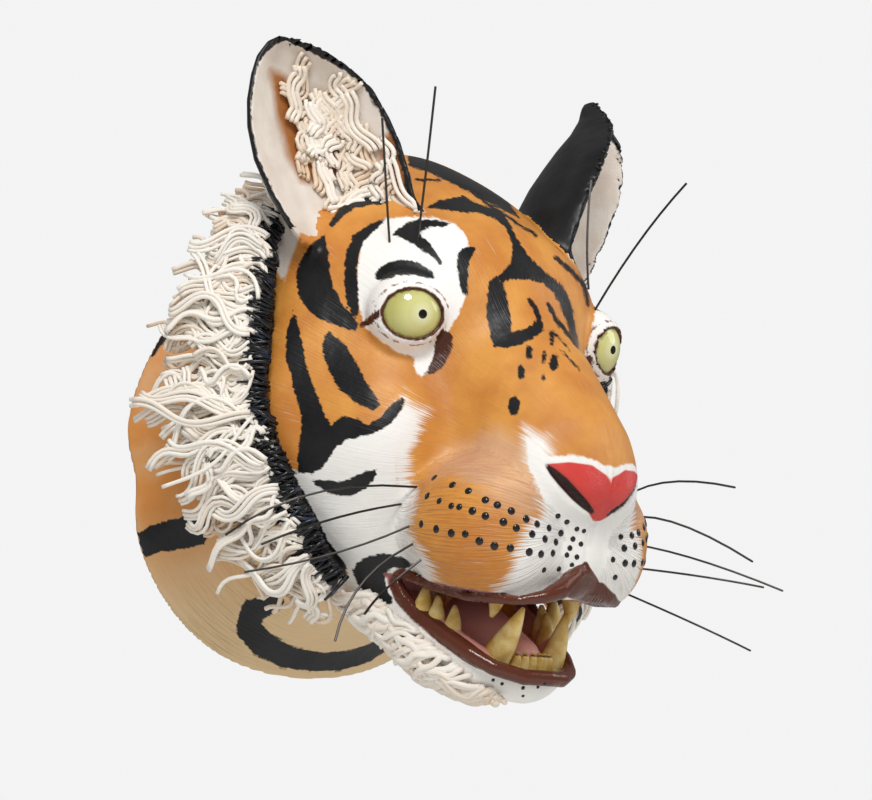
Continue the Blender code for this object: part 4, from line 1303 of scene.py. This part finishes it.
t = np.linspace(0.0, 1.0, STRAND_STEPS)[:, None]
for half, flip in (("right", -1.0), ("left", 1.0)):
    paths, radii, painted_shades = [], [], []
    for k in range(RUFF_RIBBONS):
        share = (k + random.uniform(0.0, 1.0)) / RUFF_RIBBONS
        place, line_way = on_ruff(share)
        height = random.uniform(0.0, 1.0)
        way = strand_direction(share, 0.16 * height, 0.0)
        away = out_of(line_way, way)
        level_way = np.cross(away, way)
        reach = np.interp(share, (0.0, 0.2, 0.4, 0.8, 1.0), RUFF_REACHES)
        reach *= random.uniform(*RUFF_REACH_VARIES)
        heading = headings(*RUFF_HEADINGS)[:, None]
        run = (np.cos(heading) * way + np.sin(heading) * level_way) * reach / (STRAND_STEPS - 1.0)
        lift = 1.0 + RUFF_THICK * height + random.uniform(-2.0, 6.0) * np.sin(math.pi * t)
        lift = lift - 7.0 * height * t**2
        middle = place + away * 3.0 + np.cumsum(run, axis=0) + away * lift
        twist = random.uniform(-RUFF_TWIST, RUFF_TWIST)
        sideways = np.cos(heading) * level_way - np.sin(heading) * way
        sideways = math.cos(twist) * sideways + math.sin(twist) * away
        splay = random.uniform(0.0, 0.6)
        for strand in range(random.integers(1, 4)):
            apart = strand * STRAND_RADIUS * (1.9 + splay * t**2)
            ripple = 0.4 * np.sin(random.uniform(0.0, 6.0) + 9.0 * t)
            paths.append(middle + sideways * (apart + ripple))
            radii.append(STRAND_RADIUS * random.uniform(0.85, 1.2) * np.ones(STRAND_STEPS))
            # Lower layers get more painted shade in tan.
            painted_shades.append(np.clip(0.6 - 0.9 * height, 0.0, 0.6) + random.uniform(-0.1, 0.15))
    strands(f"{half}_ruff", np.array(paths) * (flip, 1.0, 1.0), np.array(radii), painted_shades)

# The black border of the ruff
# Short strands pressed down side by side along the edge of the face, and painted glossy black.
BORDER_STRANDS = 520
BORDER_LENGTHS = (12.0, 21.0)
BORDER_RADII = (1.0, 1.7)
BORDER_SHIFT = np.array((0.5, -10.0, 0.0))
BLUE_PATCHES_PER_METRE = 160.0
border_glaze, tree, shader = new_material("glossy black on strands")
border_place = add(tree, "TexCoord").outputs["Object"]
blue = add(tree, "TexNoise", {
    "Vector": border_place, "Scale": BLUE_PATCHES_PER_METRE, "Detail": 3.0,
}).outputs[0]
blue = add(tree, "MapRange", (blue, 0.55, 0.8)).outputs[0]
border_colour = add(tree, "MixRGB", (blue, linear("#1B1B1D"), linear("#3A4660"))).outputs[0]
tree.links.new(border_colour, shader.inputs["Base Color"])
shader.inputs["Roughness"].default_value = 0.25
t = np.linspace(0.0, 1.0, 6)[:, None]
paths, radii = [], []
for k in range(BORDER_STRANDS):
    share = (k + random.uniform(-1.0, 1.0)) / BORDER_STRANDS
    place, line_way = on_ruff(share)
    way = strand_direction(share, random.uniform(0.0, 0.3), random.normal(0.0, 0.35))
    away = out_of(line_way, way)
    start = place + BORDER_SHIFT + away * random.uniform(0.0, 4.0)
    start = start + np.array((0.0, random.uniform(-3.0, 7.0), 0.0))
    bend = random.uniform(1.0, 4.0) * np.sin(math.pi * t)
    paths.append(start + way * random.uniform(*BORDER_LENGTHS) * t + away * (bend + 3.0 * t))
    radii.append(random.uniform(*BORDER_RADII) * (1.0 - 0.4 * t[:, 0] ** 2))
tubes("ruff_border", both_halves(paths), np.array(radii * 2), border_glaze)

# Hair in the ears
# The same strands, combed down from the inner edge of each ear over its lining. Every fifth lock
# starts at the ear's root and turns further round, as a looped bundle there.
EAR_LOCKS = 54
EAR_HAIR_HEADINGS = (0.3, 1.0, 0.5)
EAR_HAIR_LENGTHS = (24.0, 44.0)
EAR_HAIR_RADII = (1.4, 1.9)
EAR_HAIR_APART = 3.0
EAR_HAIR_FOOT = 124.0
EAR_HAIR_TOP = 244.0
for half, flip, ear in (("right", -1.0, RIGHT_EAR), ("left", 1.0, LEFT_EAR)):
    middles, halves, out, over = ear_frame(*ear[:2])
    paths, radii, painted_shades = [], [], []
    for k in range(EAR_LOCKS):
        looped = k % 5 == 0
        top = random.uniform(140.0, 156.0) if looped else 152.0 + 88.0 * random.uniform(0.0, 1.0) ** 0.8
        height = random.uniform(0.0, 1.0)
        heading = headings(*EAR_HAIR_HEADINGS) + (1.0 if looped else 0.25)
        length = random.uniform(*EAR_HAIR_LENGTHS) / (STRAND_STEPS - 1.0)
        start = random.uniform(-0.75, -0.45) if looped else random.uniform(-0.9, -0.05)
        z = top - np.cumsum(np.cos(heading)) * length
        wide = np.interp(z, middles[:, 2], halves)
        over_by = start * wide[0] + np.cumsum(np.sin(heading)) * length
        for strand in range(random.integers(2, 4)):
            apart = strand * EAR_HAIR_APART
            high = np.clip(z + apart * np.sin(heading), EAR_HAIR_FOOT, EAR_HAIR_TOP)
            wide = np.interp(high, middles[:, 2], halves)
            side = np.clip((over_by + apart * np.cos(heading)) / wide, -0.93, 0.8)
            deep = ear[2] * wide / halves.max()
            middle = between(high, middles[:, 2], middles)
            middle[:, 2] = high
            rise = 0.5 * EAR_SLAB + 1.0 + 6.0 * height + random.uniform(0.0, 1.5)
            path = middle + (side * wide)[:, None] * over
            paths.append(path + (rise - deep * (1.0 - side**2))[:, None] * out)
            radii.append(random.uniform(*EAR_HAIR_RADII) * np.ones(STRAND_STEPS))
            # Lower strands get more painted shade in tan.
            painted_shades.append(np.clip(0.5 - 0.6 * height, 0.0, 1.0) + random.uniform(0.0, 0.2))
    strands(f"{half}_ear_hair", np.array(paths) * (flip, 1.0, 1.0), np.array(radii), painted_shades)

# The beard
# Broader flattened strands, laid on the jaw from under the lower lip and combed back and down. Each
# row has its distance below the jaw's edge, its layer, its number of strands and its share of the
# edge.
BEARD_ROWS = (
    (1.0, 2.0, 38, 0.62), (6.0, 1.3, 46, 0.74), (11.0, 0.6, 48, 0.80), (16.0, 0.0, 46, 0.76),
)
BEARD_HEADINGS = (0.2, 0.42, 0.3)
BEARD_LENGTHS = (20.0, 42.0)
BEARD_RADII = (1.7, 2.7)
BEARD_FLAT = 0.7
BEARD_COMB = np.array((0.1, 0.1, -0.62))
LEFT_BEARD_STARTS_AT = -222.0
LEFT_BEARD_NARROWS = (-0.85, 1.0, 1.0)
JAW_EDGE = np.array((
    (66, -172, -112), (62, -190, -128), (55, -208, -141), (47, -228, -154), (36, -246, -166),
    (20, -258, -174), (0, -262, -176),
), float)


def laid_on_clay(starts, ways, lengths, turns):
    """Paths over the clay from places on it, turned step by step from their ways."""
    places = starts
    paths, outs = [], []
    for turn in turns.T[:, :, None]:
        values, slope = slope_of(lambda points: solid_field(points)[0], places)
        out = unit(slope)
        places = places - np.clip(values, -4.0, 4.0)[:, None] * out
        paths.append(places)
        outs.append(out)
        onward = unit(ways - (ways * out).sum(axis=1, keepdims=True) * out)
        onward = np.cos(turn) * onward + np.sin(turn) * np.cross(out, onward)
        places = places + onward * lengths[:, None] / (STRAND_STEPS - 1.0)
    return np.stack(paths, axis=1), np.stack(outs, axis=1)


t = np.linspace(0.0, 1.0, STRAND_STEPS)
starts, ways, lengths, turns, lifts, painted_shades = [], [], [], [], [], []
for below, layer, count, ends_at in BEARD_ROWS:
    for k in range(count):
        share = np.clip((k + random.uniform(-0.8, 0.8)) / (count - 1.0), 0.0, 1.0)
        share = share * ends_at * (len(JAW_EDGE) - 1.0)
        place = between(share, np.arange(len(JAW_EDGE)), JAW_EDGE)
        before = JAW_EDGE[max(int(share) - 1, 0)]
        after = JAW_EDGE[min(int(share) + 1, len(JAW_EDGE) - 1)]
        back = unit(before - after)
        starts.append(place + (0.0, 2.0, -below))
        ways.append(unit(back + BEARD_COMB))
        lengths.append(random.uniform(*BEARD_LENGTHS))
        turns.append(headings(*BEARD_HEADINGS))
        lifts.append(1.2 + 1.8 * layer + random.uniform(0.0, 1.5))
        # Lower layers get more painted shade in tan.
        painted_shades.append(0.05 + 0.12 * (2.0 - layer) + random.uniform(-0.1, 0.2))
paths, outs = laid_on_clay(
    np.array(starts) * MIRROR, np.array(ways) * MIRROR, np.array(lengths), np.array(turns)
)
rise = np.array(lifts)[:, None] * (0.6 + 0.8 * np.sin(math.pi * t * 0.8)) + 2.5 * t**2
paths = paths + rise[..., None] * outs
radii = random.uniform(*BEARD_RADII, len(paths))[:, None] * np.ones(STRAND_STEPS)
on_both = paths[:, 0, 1] > LEFT_BEARD_STARTS_AT
paths = np.concatenate([paths, paths[on_both] * LEFT_BEARD_NARROWS])
radii = np.concatenate([radii, radii[on_both]])
painted_shades = np.concatenate([painted_shades, np.array(painted_shades)[on_both]])
strands("beard", paths, radii, painted_shades, BEARD_FLAT)

# Whisker dots
# Raised drops of black slip in rows on the muzzle, and smaller ones on the chin. Each has its pixel
# and its half width in pixels, and all are then made so many times as wide.
DOTS = (
    (434, 478, 3.8), (452, 485, 3.8), (468, 491, 3.6), (485, 500, 3.6), (497, 505, 3.6), (511, 511, 3.6),
    (526, 519, 3.6), (537, 524, 3.4), (549, 528, 3.4), (561, 533, 3.4),
    (427, 496, 3.8), (439, 501, 3.2), (451, 506, 3.2), (459, 507, 3.2), (472, 511, 3.8), (485, 516, 3.6),
    (503, 522, 3.8), (516, 528, 3.6), (532, 534, 3.6), (545, 539, 3.6), (556, 542, 3.4),
    (421, 524, 3.6), (436, 529, 3.8), (451, 533, 3.8), (465, 534, 3.4), (479, 541, 3.8), (494, 546, 3.8),
    (510, 548, 3.6), (529, 552, 3.8), (541, 554, 3.6), (553, 553, 3.4),
    (558, 516, 2.8), (567, 522, 2.8), (577, 529, 2.6), (584, 531, 2.4), (573, 539, 2.8), (581, 544, 2.6),
    (570, 548, 2.8), (567, 555, 2.6), (577, 557, 2.6), (572, 565, 2.4), (559, 569, 2.6), (544, 570, 2.8),
    (493, 680, 1.8), (502, 684, 1.8), (523, 688, 2.0), (538, 687, 1.8), (545, 684, 1.8), (523, 696, 1.6),
)
LEFT_DOTS_START_AT = 25.0
DOTS_WIDER = 1.12
DOT_ROOT = -0.8
DOT_HEIGHT = 1.5
drop_glaze, tree, shader = new_material("drops of black slip")
shader.inputs["Base Color"].default_value = linear("#1E1D1F")
shader.inputs["Roughness"].default_value = 0.2
dot_places = cast([dot[:2] for dot in DOTS])
dot_out = unit(slope_of(lambda points: solid_field(points)[0], dot_places)[1])
dot_radii = DOTS_WIDER * PIXEL * np.array([dot[2] for dot in DOTS])
t = np.linspace(0.0, 1.0, 5)
dot_paths = dot_places[:, None] + dot_out[:, None] * (DOT_ROOT + DOT_HEIGHT * t)[:, None]
dot_radii = dot_radii[:, None] * np.sqrt(1.0 - (0.96 * t) ** 3)
on_left_pad = dot_places[:, 0] > LEFT_DOTS_START_AT
left_dots = dot_paths[on_left_pad] / (LEFT_PAD_NARROWS, 1.0, 1.0)
dot_paths = np.concatenate([dot_paths * MIRROR, left_dots])
dot_radii = np.concatenate([dot_radii, dot_radii[on_left_pad]])
tubes("whisker_dots", dot_paths, dot_radii, drop_glaze, sides=12)

# Whiskers
# Dark drawn steel wire, bent by hand. The CAD's own wires are shown, with only their finish set.
wire_finish, tree, shader = new_material("dark steel wire")
shader.inputs["Base Color"].default_value = linear("#4A4745")
shader.inputs["Metallic"].default_value = 1.0
shader.inputs["Roughness"].default_value = 0.38
for name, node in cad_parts.items():
    if name != "tiger_head":
        node.data.materials.clear()
        node.data.materials.append(wire_finish)
